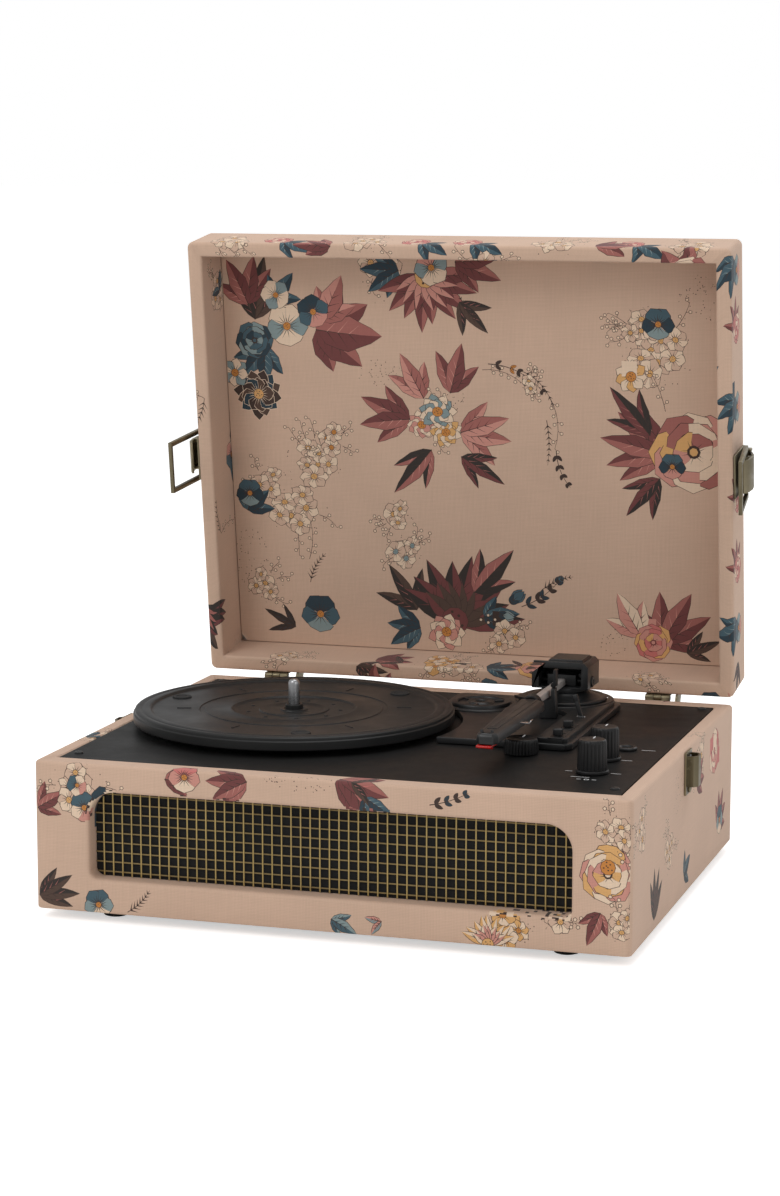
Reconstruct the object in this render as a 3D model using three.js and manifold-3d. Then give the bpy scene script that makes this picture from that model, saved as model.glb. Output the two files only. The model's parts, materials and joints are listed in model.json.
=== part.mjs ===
// Suitcase record player with its lid open, in millimetres. +Z is up and the front faces -Y.
// The case is centred on X. Y is measured from the middle of the case until the whole group is
// shifted at the end, so that the origin is at the bottom centre of the open player's box.
import * as THREE from 'three';
import { mergeVertices } from 'three/addons/utils/BufferGeometryUtils.js';
import Module from 'manifold-3d';

const wasm = await Module();
wasm.setup();

// ---- driving dimensions ----
const GAP = 0.3;                 // air between neighbouring pieces

const CASE_W = 355;              // X
const CASE_D = 288;              // Y
const BASE_H = 88;
const FOOT_H = 6;
const CASE_TOP = FOOT_H + BASE_H;
const CORNER_R = 4;              // rounding of the upright edges
const FOOT_X = 136;
const FOOT_Y = 122;
const BASE_SIDE_T = 10;
const BASE_END_T = 13.4;         // front and back walls
const BOARD_T = 6;               // bottom board
const LEDGE = 4;                 // step that the boards rest against
const PLATE_T = 3;
const PLATE_TOP = CASE_TOP - 0.3;

const LID_H = 38;
const LID_WALL = 9.5;
const LID_FLOOR_T = 3.2;
const LID_FLOOR_DEPTH = 34.5;    // rim to the inner face of the panel
const LID_SEAT = 0.4;            // shut lid above the base
const LID_OPEN_DEG = 82.6;

const HINGE_Y = CASE_D / 2 + 2.5;
const HINGE_Z = CASE_TOP + 1.1;
const HINGES = [
  { side: 'left', x: -131, stopX: -117 },
  { side: 'right', x: 128, stopX: 140 },
];
const HINGE_W = 16;
const KNUCKLE_R = 2.2;
const STOP_GAP = 0.4;            // open lid above its stops

const GRILLE_W = 287;
const GRILLE_Z0 = FOOT_H + 20;
const GRILLE_Z1 = FOOT_H + 71.5;
const GRILLE_DEPTH = 9;          // front face to the wires
const WIRE_PITCH = 5.75;
const WIRE_T = 0.9;
const SPEAKER_X = 82;
const SPEAKER_R = 31;

const PLATTER = { x: -68, y: 1, r: 98.5, top: FOOT_H + 99.8, rim: 8.2 };
const DRIVE_RIM_R = 54;
const PULLEY_R = 6;
const MOTOR_AT = { x: -68 + 70, y: 1 + 22 };
const PIVOT = { x: 79, y: 95 };
const ARM_Z = FOOT_H + 107;      // axis of the arm tube
const ARM_REACH = 188;           // pivot to stylus
const ARM_BASE_H = 6;
const STYLUS_Z = PLATTER.top + 1;

const DECK = { right: 113.5, front: -28, back: 112, left: 6, top: PLATE_TOP + 4.3, step: 3 };
const STEP_X = 92;               // left edge of the raised strip of the deck
const ADAPTER = { x: 30, y: 76, r: 18.5, h: 5 };

const KNOBS = [
  { name: 'volume_knob', x: 139, y: -79 },
  { name: 'mode_knob', x: 137.5, y: -42 },
];
const KNOB_R = 8.6;
const KNOB_H = 19.4;
const PITCH_KNOB = { x: 87, y: -40, r: 10.2, h: 9.2 };
const JACK = { x: 143.5, y: -11, r: 6.4 };
const SPEED_LEVER = { x: 103.6, y: -18 };
const STOP_LEVER = { x: 103.2, y: 8 };
const CUE = { x: 103, y: 42, arc: 33 };

const LATCH_Y = 13;              // half width of the latch's plate and pin
const LATCH_PIN = { out: 4.8, z: CASE_TOP + 28 };    // distance out of the wall, height when shut
const LOOP_PIN = { out: 5.1, z: CASE_TOP + 18 };
const LOOP_BAR_Z = CASE_TOP - 23.8;
const HANDLE_X = 50;
const HANDLE_PIN = { y: CASE_D / 2 + 6.8, z: FOOT_H + 66 };

// ---- materials ----
const finish = (color, roughness, metalness = 0) =>
  new THREE.MeshStandardMaterial({ color, roughness, metalness });
const cloth = finish(0xcdaa94, 0.85);
const board = finish(0x8a6a4a, 0.8);
const satin = finish(0x2d2a28, 0.45);
const gloss = finish(0x323436, 0.35);
const knobBlack = finish(0x1c1c1e, 0.4);
const rubber = finish(0x151515, 0.9);
const bronze = finish(0x4b442d, 0.45, 0.8);
const gold = finish(0xb89b52, 0.4, 0.9);
const chrome = finish(0xd8d8d8, 0.12, 1);
const armGrey = finish(0x968c87, 0.4, 0.5);
const red = finish(0xbe0f0a, 0.35);
const steel = finish(0x9a9a9a, 0.4, 0.9);
const paper = finish(0x26241f, 0.9);
const greenBoard = finish(0x1f5a36, 0.6);
const brass = finish(0xb08d3c, 0.35, 0.9);

// ---- solids: closed geometries that can be cut and joined ----
function toSolid(geometry) {
  const plain = geometry.clone();
  for (const name of Object.keys(plain.attributes)) {
    if (name !== 'position') plain.deleteAttribute(name);
  }
  const merged = mergeVertices(plain, 1e-4);
  return new wasm.Manifold(new wasm.Mesh({
    numProp: 3,
    vertProperties: new Float32Array(merged.attributes.position.array),
    triVerts: new Uint32Array(merged.index.array),
  }));
}

function fromSolid(solid) {
  const { vertProperties, triVerts } = solid.getMesh();
  const geometry = new THREE.BufferGeometry();
  geometry.setAttribute('position', new THREE.BufferAttribute(vertProperties, 3));
  geometry.setIndex(new THREE.BufferAttribute(triVerts, 1));
  geometry.computeVertexNormals();
  return geometry;
}

const join = (first, ...others) =>
  fromSolid(others.reduce((solid, other) => solid.add(toSolid(other)), toSolid(first)));
const cut = (first, ...others) =>
  fromSolid(others.reduce((solid, other) => solid.subtract(toSolid(other)), toSolid(first)));
const common = (first, second) => fromSolid(toSolid(first).intersect(toSolid(second)));

// ---- basic forms ----
// A box between two corners.
function block(x0, x1, y0, y1, z0, z1) {
  return new THREE.BoxGeometry(x1 - x0, y1 - y0, z1 - z0)
    .translate((x0 + x1) / 2, (y0 + y1) / 2, (z0 + z1) / 2);
}

// An upright extrusion of a shape between two heights.
function slab(shape, z0, z1, curveSegments = 8) {
  return new THREE.ExtrudeGeometry(shape, { depth: z1 - z0, bevelEnabled: false, curveSegments })
    .translate(0, 0, z0);
}

// A shape in the XZ plane, extruded along Y between y0 and y1.
function slabAlongY(shape, y0, y1, curveSegments = 8) {
  return slab(shape, -y1, -y0, curveSegments).rotateX(Math.PI / 2);
}

// A shape whose own x and y lie along Y and Z, extruded along X between x0 and x1.
function slabAlongX(shape, x0, x1, curveSegments = 8) {
  return slab(shape, x0, x1, curveSegments).rotateX(Math.PI / 2).rotateZ(Math.PI / 2);
}

// A rectangle centred on x, y with rounded corners: radii from lower left, anticlockwise.
function roundedRect(w, d, r, x = 0, y = 0) {
  const [ll, lr, ur, ul] = Array.isArray(r) ? r : [r, r, r, r];
  const [x0, x1, y0, y1] = [x - w / 2, x + w / 2, y - d / 2, y + d / 2];
  const shape = new THREE.Shape();
  shape.moveTo(x0 + ll, y0);
  shape.lineTo(x1 - lr, y0);
  shape.absarc(x1 - lr, y0 + lr, lr, -Math.PI / 2, 0);
  shape.lineTo(x1, y1 - ur);
  shape.absarc(x1 - ur, y1 - ur, ur, 0, Math.PI / 2);
  shape.lineTo(x0 + ul, y1);
  shape.absarc(x0 + ul, y1 - ul, ul, Math.PI / 2, Math.PI);
  shape.lineTo(x0, y0 + ll);
  shape.absarc(x0 + ll, y0 + ll, ll, Math.PI, Math.PI * 1.5);
  return shape;
}

function polygon(points) {
  return new THREE.Shape(points.map(([x, y]) => new THREE.Vector2(x, y)));
}

// A body of revolution about the upright axis through x, y. The profile is [radius, height] pairs
// that start and end on the axis, from the bottom up.
function turned(profile, x = 0, y = 0, segments = 32) {
  return new THREE.LatheGeometry(profile.map(([r, z]) => new THREE.Vector2(r, z)), segments)
    .rotateX(Math.PI / 2).translate(x, y, 0);
}

const disc = (r, z0, z1, x = 0, y = 0, segments = 32) =>
  turned([[0, z0], [r, z0], [r, z1], [0, z1]], x, y, segments);
const rodAlongX = (r, x0, x1, y, z, segments = 16) => disc(r, x0, x1, 0, 0, segments)
  .rotateY(Math.PI / 2).translate(0, y, z);
const rodAlongY = (r, y0, y1, x, z, segments = 16) => disc(r, -y1, -y0, 0, 0, segments)
  .rotateX(Math.PI / 2).translate(x, 0, z);

const player = new THREE.Group();
const SIDES = [['left', -1], ['right', 1]];

function add(name, geometry, material, parent = player) {
  const mesh = new THREE.Mesh(geometry, material);
  mesh.name = name;
  parent.add(mesh);
  return mesh;
}

// A rounded ring of walls.
function walls(w, d, sideT, endT, z0, z1) {
  return cut(slab(roundedRect(w, d, CORNER_R), z0, z1, 3),
    block(-w / 2 + sideT, w / 2 - sideT, -d / 2 + endT, d / 2 - endT, z0 - 1, z1 + 1));
}

// ---- base case ----
const FRONT = -CASE_D / 2;
const BACK = CASE_D / 2;
const INNER_X = CASE_W / 2 - BASE_SIDE_T;
const INNER_Y = CASE_D / 2 - BASE_END_T;
const REAR_PANEL = { x: -100, z: FOOT_H + 36, w: 66, h: 40 };
const REAR_JACKS = [
  { dx: -20, r: 4.6, bore: 2, out: 19 },
  { dx: -6, r: 4.6, bore: 2, out: 19 },
  { dx: 7, r: 4, bore: 1.8, out: 12.5 },
  { dx: 20, r: 5, bore: 3, out: 12.5 },
];

function grilleOpening(grow, y0, y1) {
  const radii = [5, 5, 15, 15].map((r) => r + grow / 2);
  const height = GRILLE_Z1 - GRILLE_Z0 + grow;
  const shape = roundedRect(GRILLE_W + grow, height, radii, 0, (GRILLE_Z0 + GRILLE_Z1) / 2);
  return slabAlongY(shape, y0, y1, 4);
}

function baseWalls() {
  const shell = walls(CASE_W, CASE_D, BASE_SIDE_T + LEDGE, BASE_END_T, FOOT_H, CASE_TOP);
  const seat = (z0, z1) => block(-INNER_X, INNER_X, -INNER_Y, INNER_Y, z0, z1);
  const panel = REAR_PANEL;
  return cut(shell,
    seat(CASE_TOP - PLATE_T - 0.6, CASE_TOP + 1),
    seat(FOOT_H - 1, FOOT_H + BOARD_T + GAP),
    grilleOpening(0, FRONT - 1, FRONT + GRILLE_DEPTH),
    grilleOpening(10, FRONT + GRILLE_DEPTH, -INNER_Y + 1),
    block(panel.x - 30, panel.x + 30, INNER_Y - 1, BACK + 1, panel.z - 17, panel.z + 17));
}

function buildCase() {
  add('base_walls', baseWalls(), cloth);
  const inset = GAP;
  add('bottom_panel', block(-INNER_X + inset, INNER_X - inset, -INNER_Y + inset, INNER_Y - inset,
    FOOT_H, FOOT_H + BOARD_T), cloth);
  for (const [side, sx] of SIDES) {
    for (const [end, sy] of [['front', -1], ['rear', 1]]) {
      const profile = [[0, 0], [7, 0], [8, 1], [8.6, FOOT_H - GAP], [0, FOOT_H - GAP]];
      add(`foot_${end}_${side}`, turned(profile, sx * FOOT_X, sy * FOOT_Y, 20), rubber);
    }
  }
}

function buildGrille() {
  const y = FRONT + GRILLE_DEPTH;
  const middle = (GRILLE_Z0 + GRILLE_Z1) / 2;
  const reach = { x: GRILLE_W / 2 + 4, z: (GRILLE_Z1 - GRILLE_Z0) / 2 + 4 };
  // a flat grid of the main wires: the windows between them are three wire pitches wide
  const pitch = 3 * WIRE_PITCH;
  const [columns, rows] = [Math.floor(reach.x / pitch), Math.floor(reach.z / pitch)];
  const wires = [];
  for (let i = -columns; i <= columns; i++) {
    wires.push(block(i * pitch - WIRE_T / 2, i * pitch + WIRE_T / 2, y + GAP, y + GAP + 2 * WIRE_T,
      middle - reach.z, middle + reach.z));
  }
  for (let k = -rows; k <= rows; k++) {
    wires.push(block(-reach.x, reach.x, y + GAP, y + GAP + 2 * WIRE_T,
      middle + k * pitch - WIRE_T / 2, middle + k * pitch + WIRE_T / 2));
  }
  add('grille_grid', common(join(...wires), grilleOpening(8, y, y + 3)), gold);
  const clothY = y + 2 * GAP + 2 * WIRE_T;
  add('grille_cloth', grilleOpening(8, clothY, clothY + 0.6), paper);
  const baffleY = -INNER_Y + GAP;
  const holes = [-1, 1].map((s) =>
    rodAlongY(SPEAKER_R - 6, baffleY - 1, baffleY + 5, s * SPEAKER_X, middle, 24));
  add('speaker_baffle', cut(block(-reach.x - 8, reach.x + 8, baffleY, baffleY + 4,
    FOOT_H + BOARD_T + 1, CASE_TOP - PLATE_T - 2), ...holes), board);
  // each speaker: rim, cone with its dust cap, basket and magnet in one turned body
  for (const [side, s] of SIDES) {
    const speaker = turned([[0, 8], [4, 7.6], [7, 9.5], [SPEAKER_R - 5, 1.5], [SPEAKER_R - 3, 0],
      [SPEAKER_R + 2, 0], [SPEAKER_R + 2, 2], [SPEAKER_R - 2, 3], [15, 15], [20, 15], [20, 27], [0, 27]], 0, 0, 24);
    speaker.rotateX(-Math.PI / 2).translate(s * SPEAKER_X, baffleY + 4 + GAP, middle);
    add(`speaker_${side}`, speaker, paper);
  }
}

// ---- top plate, deck and fixed parts ----
const plateHoles = () => [
  disc(7.3, PLATE_TOP - 5, PLATE_TOP + 1, PLATTER.x, PLATTER.y, 24),
  disc(PULLEY_R + 5, PLATE_TOP - 5, PLATE_TOP + 1, MOTOR_AT.x, MOTOR_AT.y, 24),
  disc(6, PLATE_TOP - 5, PLATE_TOP + 1, PIVOT.x, PIVOT.y, 16),
  ...[...KNOBS, PITCH_KNOB].map(({ x, y }) => disc(4.4, PLATE_TOP - 5, PLATE_TOP + 1, x, y, 16)),
  disc(JACK.r - 0.6, PLATE_TOP - 5, PLATE_TOP + 1, JACK.x, JACK.y, 16),
];

function buildPlate() {
  const [w, d] = [INNER_X - GAP, INNER_Y - GAP];
  const plate = block(-w, w, -d, d, PLATE_TOP - PLATE_T, PLATE_TOP);
  add('top_plate', cut(plate, ...plateHoles()), satin);
}

// The deck follows the platter's edge, with a raised strip along its right side.
function deckOutline() {
  const clear = PLATTER.r + 5;
  const angleAt = (dy) => Math.asin(dy / clear);
  const start = angleAt(DECK.front - PLATTER.y);
  const end = Math.acos((DECK.left - PLATTER.x) / clear);
  const shape = new THREE.Shape();
  shape.moveTo(PLATTER.x + clear * Math.cos(start), DECK.front);
  shape.lineTo(DECK.right - 3, DECK.front);
  shape.lineTo(DECK.right, DECK.front + 5);
  shape.lineTo(DECK.right, DECK.back - 10);
  shape.absarc(DECK.right - 10, DECK.back - 10, 10, 0, Math.PI / 2);
  shape.lineTo(DECK.left + 6, DECK.back);
  shape.absarc(DECK.left + 6, DECK.back - 6, 6, Math.PI / 2, Math.PI);
  shape.lineTo(DECK.left, PLATTER.y + clear * Math.sin(end));
  for (let i = 1; i < 12; i++) {
    const a = end + (start - end) * i / 12;
    shape.lineTo(PLATTER.x + clear * Math.cos(a), PLATTER.y + clear * Math.sin(a));
  }
  return shape;
}

function buildDeck() {
  const z0 = PLATE_TOP + GAP;
  const raised = slab(polygon([[STEP_X, DECK.front + 2], [DECK.right - 5, DECK.front + 2],
    [DECK.right - 3, DECK.front + 5], [DECK.right - 3, DECK.back - 12], [DECK.right - 12, DECK.back - 3],
    [STEP_X - 40, DECK.back - 3], [STEP_X - 40, PIVOT.y - 30], [STEP_X - 6, PIVOT.y - 36],
    [STEP_X, PIVOT.y - 44]]),
  DECK.top - 1, DECK.top + DECK.step);
  const slots = [SPEED_LEVER, STOP_LEVER].map(({ x, y }) =>
    block(x - 1.8, x + 1.8, y - 6.5, y + 6.5, z0 - 1, DECK.top + 5));
  const body = join(slab(deckOutline(), z0, DECK.top), raised);
  add('arm_deck', cut(body, ...slots,
    disc(ADAPTER.r + 1, DECK.top - 2.6, DECK.top + 1, ADAPTER.x, ADAPTER.y, 32),
    disc(6, z0 - 1, DECK.top + 5, PIVOT.x, PIVOT.y, 16),
    block(CUE.x - 2.8, CUE.x + 2.8, CUE.y - 4, CUE.y + 6.5, DECK.top, DECK.top + 5),
    cueStem(3.2, z0 - 1, DECK.top + 5)), gloss);
}

// The 45 rpm adapter: a ribbed disc with a spindle hole, which lifts out of its well.
function buildAdapter() {
  const { x, y, r, h } = ADAPTER;
  const z = DECK.top - 2.6 + GAP;
  const ring = turned([[0, z], [r, z], [r, z + h - 1], [r - 1.2, z + h], [0, z + h]], x, y, 32);
  const groove = cut(disc(r - 4, z + h - 1.4, z + h + 1, x, y, 28), disc(8, z, z + h + 2, x, y, 24));
  add('adapter_45', cut(ring, groove, disc(3.7, z - 1, z + h + 1, x, y, 20)), knobBlack);
}

// ---- platter and drive ----
function buildPlatter() {
  const { x, y, r, top, rim } = PLATTER;
  const bottom = top - rim;
  // underneath, the belt runs on a rim inside the outer skirt
  const profile = [[3.9, top - 5], [DRIVE_RIM_R - 3, top - 5], [DRIVE_RIM_R - 3, bottom - 1.5],
    [DRIVE_RIM_R, bottom - 1.5], [DRIVE_RIM_R, top - 3.4], [r - 3, top - 3.4], [r - 3, bottom], [r, bottom],
    [r, top - 1.2], [r - 1.4, top], [r - 10, top], [r - 12, top - 1.6], [38, top - 1.6], [36, top - 2.6],
    [3.9, top - 2.6], [3.9, top - 5]];
  add('platter', turned(profile, x, y, 48), gloss);
  add('spindle', turned([[0, PLATE_TOP - 20], [3.5, PLATE_TOP - 20], [3.5, top + 14.5], [2.6, top + 16],
    [0, top + 16.6]], x, y, 20), chrome);
  add('spindle_bearing', turned([[0, PLATE_TOP - 22.5], [6.9, PLATE_TOP - 22.5], [6.9, PLATE_TOP + 1.2],
    [3.8, PLATE_TOP + 1.2], [3.8, PLATE_TOP - 20.4], [0, PLATE_TOP - 20.4]], x, y, 20), brass);
}

function buildMotor() {
  const { x, y } = MOTOR_AT;
  const top = PLATE_TOP - PLATE_T - 2;
  add('motor', turned([[0, top - 24], [17, top - 24], [18, top - 23], [18, top - 1], [17, top], [4, top],
    [4, top + 1], [0, top + 1]], x, y, 28), steel);
  const z = PLATTER.top - PLATTER.rim - 1.3;
  const foot = top + 1 + GAP;
  add('motor_pulley', turned([[0, foot], [1.5, foot], [1.5, z], [PULLEY_R + 0.8, z], [PULLEY_R, z + 0.8],
    [PULLEY_R, z + 4], [PULLEY_R + 0.4, z + 4.6], [0, z + 4.6]], x, y, 20), brass);
  // a flat belt round the pulley and the platter's drive rim
  const outline = (grow) => {
    const [dx, dy] = [x - PLATTER.x, y - PLATTER.y];
    const [R, q] = [DRIVE_RIM_R + grow, PULLEY_R + grow];
    const centre = Math.atan2(dy, dx);
    const spread = Math.acos((R - q) / Math.hypot(dx, dy));
    const shape = new THREE.Shape();
    shape.absarc(PLATTER.x, PLATTER.y, R, centre + spread, centre - spread + 2 * Math.PI);
    shape.absarc(x, y, q, centre - spread, centre + spread);
    return shape;
  };
  const loop = outline(GAP + 1);
  loop.holes.push(outline(GAP));
  add('drive_belt', slab(loop, z + 1, z + 3.6, 14), rubber);
}

// ---- electronics ----
function buildElectronics() {
  const z = PLATE_TOP - 26;
  const pots = [...KNOBS, PITCH_KNOB].map(({ x, y }) =>
    block(x - 7, x + 7, y - 7, y + 7, z - 1, PLATE_TOP - PLATE_T - 6));
  add('control_board', join(block(78, 160, -92, 10, z - 1.6, z), ...pots), greenBoard);
  const socket = turned([[3.3, -16], [5.4, -16], [5.4, GAP], [JACK.r, GAP], [JACK.r, 1.6], [JACK.r - 0.8, 2.2],
    [3.3, 2.2], [3.3, -16]], JACK.x, JACK.y, 24).translate(0, 0, PLATE_TOP);
  add('headphone_jack', socket, knobBlack);
  const p = REAR_PANEL;
  const plate = slabAlongY(roundedRect(p.w, p.h, 3, p.x, p.z), BACK + GAP, BACK + 1.8, 3);
  const body = block(p.x - 29.5, p.x + 29.5, BACK - 8, BACK + 1, p.z - 16.5, p.z + 16.5);
  const bores = REAR_JACKS.map(({ dx, r }) => rodAlongY(r + 0.5, BACK - 9, BACK + 3, p.x + dx, p.z, 16));
  add('rear_panel', cut(join(plate, body), ...bores), satin);
  const barrel = ({ dx, r, bore, out }) =>
    turned([[0, 0], [r, 0], [r, out], [bore, out], [bore, 3], [0, 3]], 0, 0, 16)
    .rotateX(-Math.PI / 2).translate(p.x + dx, BACK - 11, p.z);
  add('rear_jacks', join(block(p.x - 28, p.x + 28, BACK - 12, BACK - 10, p.z - 14, p.z + 14),
    ...REAR_JACKS.map(barrel)), chrome);
}

// ---- tone arm ----
function cueStem(r, z0, z1) {
  const a = (-90 - 22) * Math.PI / 180;
  return disc(r, z0, z1, PIVOT.x + CUE.arc * Math.cos(a), PIVOT.y + CUE.arc * Math.sin(a), 16);
}

function buildArmSupport() {
  const { x, y } = PIVOT;
  const z = DECK.top + DECK.step;
  add('arm_base', turned([[0, PLATE_TOP - 12], [5.6, PLATE_TOP - 12], [5.6, z + GAP], [27, z + GAP], [27, z + 2],
    [25, z + 2.6], [16, z + 5], [14.5, z + ARM_BASE_H], [0, z + ARM_BASE_H]], x, y, 28), gloss);
  const restX = x + 0.6;
  const restY = y - 48;
  const shelf = ARM_Z - 2.6;
  const post = polygon([[restX - 3.5, DECK.top + GAP], [restX + 7, DECK.top + GAP], [restX + 6, shelf + 6.5],
    [restX + 3.6, shelf + 6.5], [restX + 3.6, shelf], [restX - 3, shelf]]);
  add('arm_rest', slabAlongY(post, restY - 3, restY + 3), gloss);
  const clip = join(rodAlongY(1.6, restY - 2.8, restY + 2.8, 0, 0, 14),
    block(0, 1.6, restY - 2.8, restY + 2.8, 0, 9.5));
  add('rest_clip', clip.translate(restX + 5, 0, shelf + 8.5), knobBlack);
  const arc = new THREE.Shape();
  const [from, to] = [-97 * Math.PI / 180, -140 * Math.PI / 180];
  arc.absarc(x, y, CUE.arc + 1.6, from, to, true);
  arc.absarc(x, y, CUE.arc - 1.6, to, from, false);
  const platform = join(slab(arc, ARM_Z - 8.6, ARM_Z - 7, 10), cueStem(2.9, PLATE_TOP + 0.6, ARM_Z - 7.8));
  add('cue_platform', platform, knobBlack);
  const stick = block(-1.3, 1.3, -1.3, 1.3, 0, 14).rotateX(-0.2).rotateY(-0.36);
  const lever = join(rodAlongX(1.7, CUE.x - 2.1, CUE.x + 2.1, CUE.y, DECK.top + DECK.step - 0.6, 14),
    stick.translate(CUE.x, CUE.y, DECK.top + DECK.step));
  add('cue_lever', lever, knobBlack);
}

function buildArm() {
  const yaw = new THREE.Group();
  yaw.position.set(PIVOT.x, PIVOT.y, ARM_Z);
  player.add(yaw);
  // housing: a round collar under two cheeks and a roof, open in front where the tube comes out
  const z0 = DECK.top + DECK.step + ARM_BASE_H + GAP - ARM_Z;
  const collar = disc(14.2, z0, z0 + 2.4, 0, 0, 32);
  const cheeks = polygon([[-18, z0 + 2.1], [18, z0 + 2.1], [18, 10.5], [15.5, 13], [-9, 13], [-18, 6]]);
  const outer = slabAlongY(cheeks, -12, 18);
  const hollow = block(-13.6, 13.6, -13, 14, z0 + 3.1, 9.4);
  const roof = block(-8, 14, -9, 14, 12, 14);
  const bores = rodAlongX(2.3, -20, 20, 0, 0, 16);
  add('arm_housing', cut(join(outer, roof, collar), hollow, bores), gloss, yaw);
  add('arm_carrier', join(block(-9, 9, -7, 2, -2.1, 4.6), block(-12, 12, 1, 12.5, -0.6, 4.2),
    rodAlongX(2, -17.4, 17.4, 0, 0, 16)), steel, yaw);
  const collarY = -ARM_REACH + 112;
  const head = { back: collarY - 8.3, front: -ARM_REACH - 4 };
  const tube = slabAlongY(roundedRect(5, 4.4, 1), collarY - 1, -7 - GAP, 2);
  add('arm_tube', join(tube, rodAlongY(5.4, collarY - 8, collarY, 0, 0, 12)), armGrey, yaw);
  // flat head shell, tapering to the front, over the cartridge
  const shell = polygon([[-7.5, head.back], [9, head.back], [9.5, head.back - 24], [8.5, head.front + 4],
    [6.5, head.front], [-2, head.front], [-4.5, head.front + 4], [-8.5, head.back - 30]]);
  const top = slab(shell, 0.4, 3.4);
  const skirt = cut(slab(shell, -3.2, 1), block(-5.2, 7, head.front + 8, head.back - 3, -4, 0.4));
  add('headshell', join(top, skirt), gloss, yaw);
  const tipZ = STYLUS_Z - ARM_Z;
  add('cartridge', join(block(-3.6, 5.6, -ARM_REACH + 6, head.back - 18, -3.4, 0.4 - GAP),
    block(-2.6, 4.6, -ARM_REACH + 14, -ARM_REACH + 36, -4.2, -3)), knobBlack, yaw);
  const stylus = polygon([[-5, -3.6], [5, -3.6], [12.5, -4.5], [28, -4.5], [28, -5.4], [3, tipZ + 1], [0.5, tipZ + 1],
    [0.3, tipZ], [-0.3, tipZ], [-0.5, tipZ + 1], [-5, tipZ + 1.3]]);
  add('stylus', slabAlongX(stylus, -3.4, 5.4).translate(0, -ARM_REACH, 0), red, yaw);
  add('finger_lift', join(block(9.8 + GAP, 17, -ARM_REACH + 42, -ARM_REACH + 46, 0.6, 1.6),
    block(15.6, 17, -ARM_REACH + 42, -ARM_REACH + 46, 0.6, 3)), chrome, yaw);
}

// ---- knobs and slides ----
function fluted(r, flutes, depth) {
  const points = [];
  for (let i = 0; i < 2 * flutes; i++) {
    const a = i / flutes * Math.PI;
    const radius = i % 2 ? r - depth : r;
    points.push([radius * Math.cos(a), radius * Math.sin(a)]);
  }
  return polygon(points);
}

function buildControls() {
  for (const { name, x, y } of KNOBS) {
    const z = PLATE_TOP + GAP;
    const body = join(slab(fluted(KNOB_R, 18, 0.8), z + 2, z + KNOB_H - 1.2),
      disc(KNOB_R + 1, z, z + 2.2, 0, 0, 24),
      disc(KNOB_R - 0.9, z + KNOB_H - 2, z + KNOB_H, 0, 0, 24), disc(3, z - 4.5, z + 1, 0, 0, 16));
    const mark = block(-0.5, 0.5, 3, KNOB_R, z + KNOB_H - 0.6, z + KNOB_H + 1);
    add(name, cut(body, mark).translate(x, y, 0), knobBlack);
  }
  const { x, y, r, h } = PITCH_KNOB;
  const z = PLATE_TOP + GAP;
  add('pitch_knob', join(slab(fluted(r, 20, 0.8), z + 0.6, z + h - 1), disc(r - 1, z, z + h, 0, 0, 24),
    disc(3, z - 4.5, z + 1, 0, 0, 16)).translate(x, y, 0), knobBlack);
  const top = DECK.top + DECK.step;
  const slider = (at) => join(block(at.x - 2.6, at.x + 2.6, at.y - 2.4, at.y + 2.4, top + GAP, top + 4.6),
    block(at.x - 1.4, at.x + 1.4, at.y - 2, at.y + 2, PLATE_TOP + 1, top + 1));
  add('speed_lever', slider(SPEED_LEVER), knobBlack);
  add('autostop_lever', slider(STOP_LEVER), knobBlack);
}

// ---- hinges, stops and handle ----
// One leaf of a butt hinge: a flat plate on the wall with knuckles round the pin.
// Up is +1 for the leaf above the pin and -1 for the one below.
function hingeLeaf(x, up, knuckles, length) {
  const y = BACK + GAP;
  const z = (t) => HINGE_Z + up * t;
  const span = (a, b) => [Math.min(z(a), z(b)), Math.max(z(a), z(b))];
  const parts = [block(x - HINGE_W / 2, x + HINGE_W / 2, y, y + 1.2, ...span(2.8, length))];
  for (const [a, b] of knuckles) {
    parts.push(rodAlongX(KNUCKLE_R, x + a, x + b, HINGE_Y, HINGE_Z, 20));
    parts.push(block(x + a, x + b, y, y + 1.2, ...span(0, 3.2)));
  }
  return cut(join(...parts), rodAlongX(1.35, x - HINGE_W, x + HINGE_W, HINGE_Y, HINGE_Z, 16));
}

// Runs along the underside of the open lid's hinge wall, t mm behind the pin.
function openWall(t) {
  const a = LID_OPEN_DEG * Math.PI / 180;
  const [dy, dz] = [BACK - HINGE_Y, t];
  return [HINGE_Y + dy * Math.cos(a) + dz * Math.sin(a), HINGE_Z - dy * Math.sin(a) + dz * Math.cos(a)];
}

function buildHinges() {
  // the base leaf's plate carries a web that the open lid comes to rest on
  const [y0, z0] = openWall(1);
  const [y1, z1] = openWall(13);
  const web = polygon([[BACK + GAP, HINGE_Z - 23], [BACK + GAP, HINGE_Z - 3], [y0, z0 - STOP_GAP],
    [y1, z1 - STOP_GAP], [y1, z1 - 4], [BACK + 3, HINGE_Z - 23]]);
  HINGES.forEach(({ side, x, stopX }) => {
    const plate = block(Math.min(x, stopX), stopX + 0.7, BACK + GAP, BACK + 1.5, HINGE_Z - 23, HINGE_Z - 5);
    add(`hinge_base_${side}`, join(hingeLeaf(x, -1, [[-8, -2.8], [2.8, 8]], 23),
      plate, slabAlongX(web, stopX - 0.7, stopX + 0.7)), bronze);
    add(`hinge_pin_${side}`, rodAlongX(1.05, x - 8.3, x + 8.3, HINGE_Y, HINGE_Z, 14), steel);
  });
}

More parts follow.
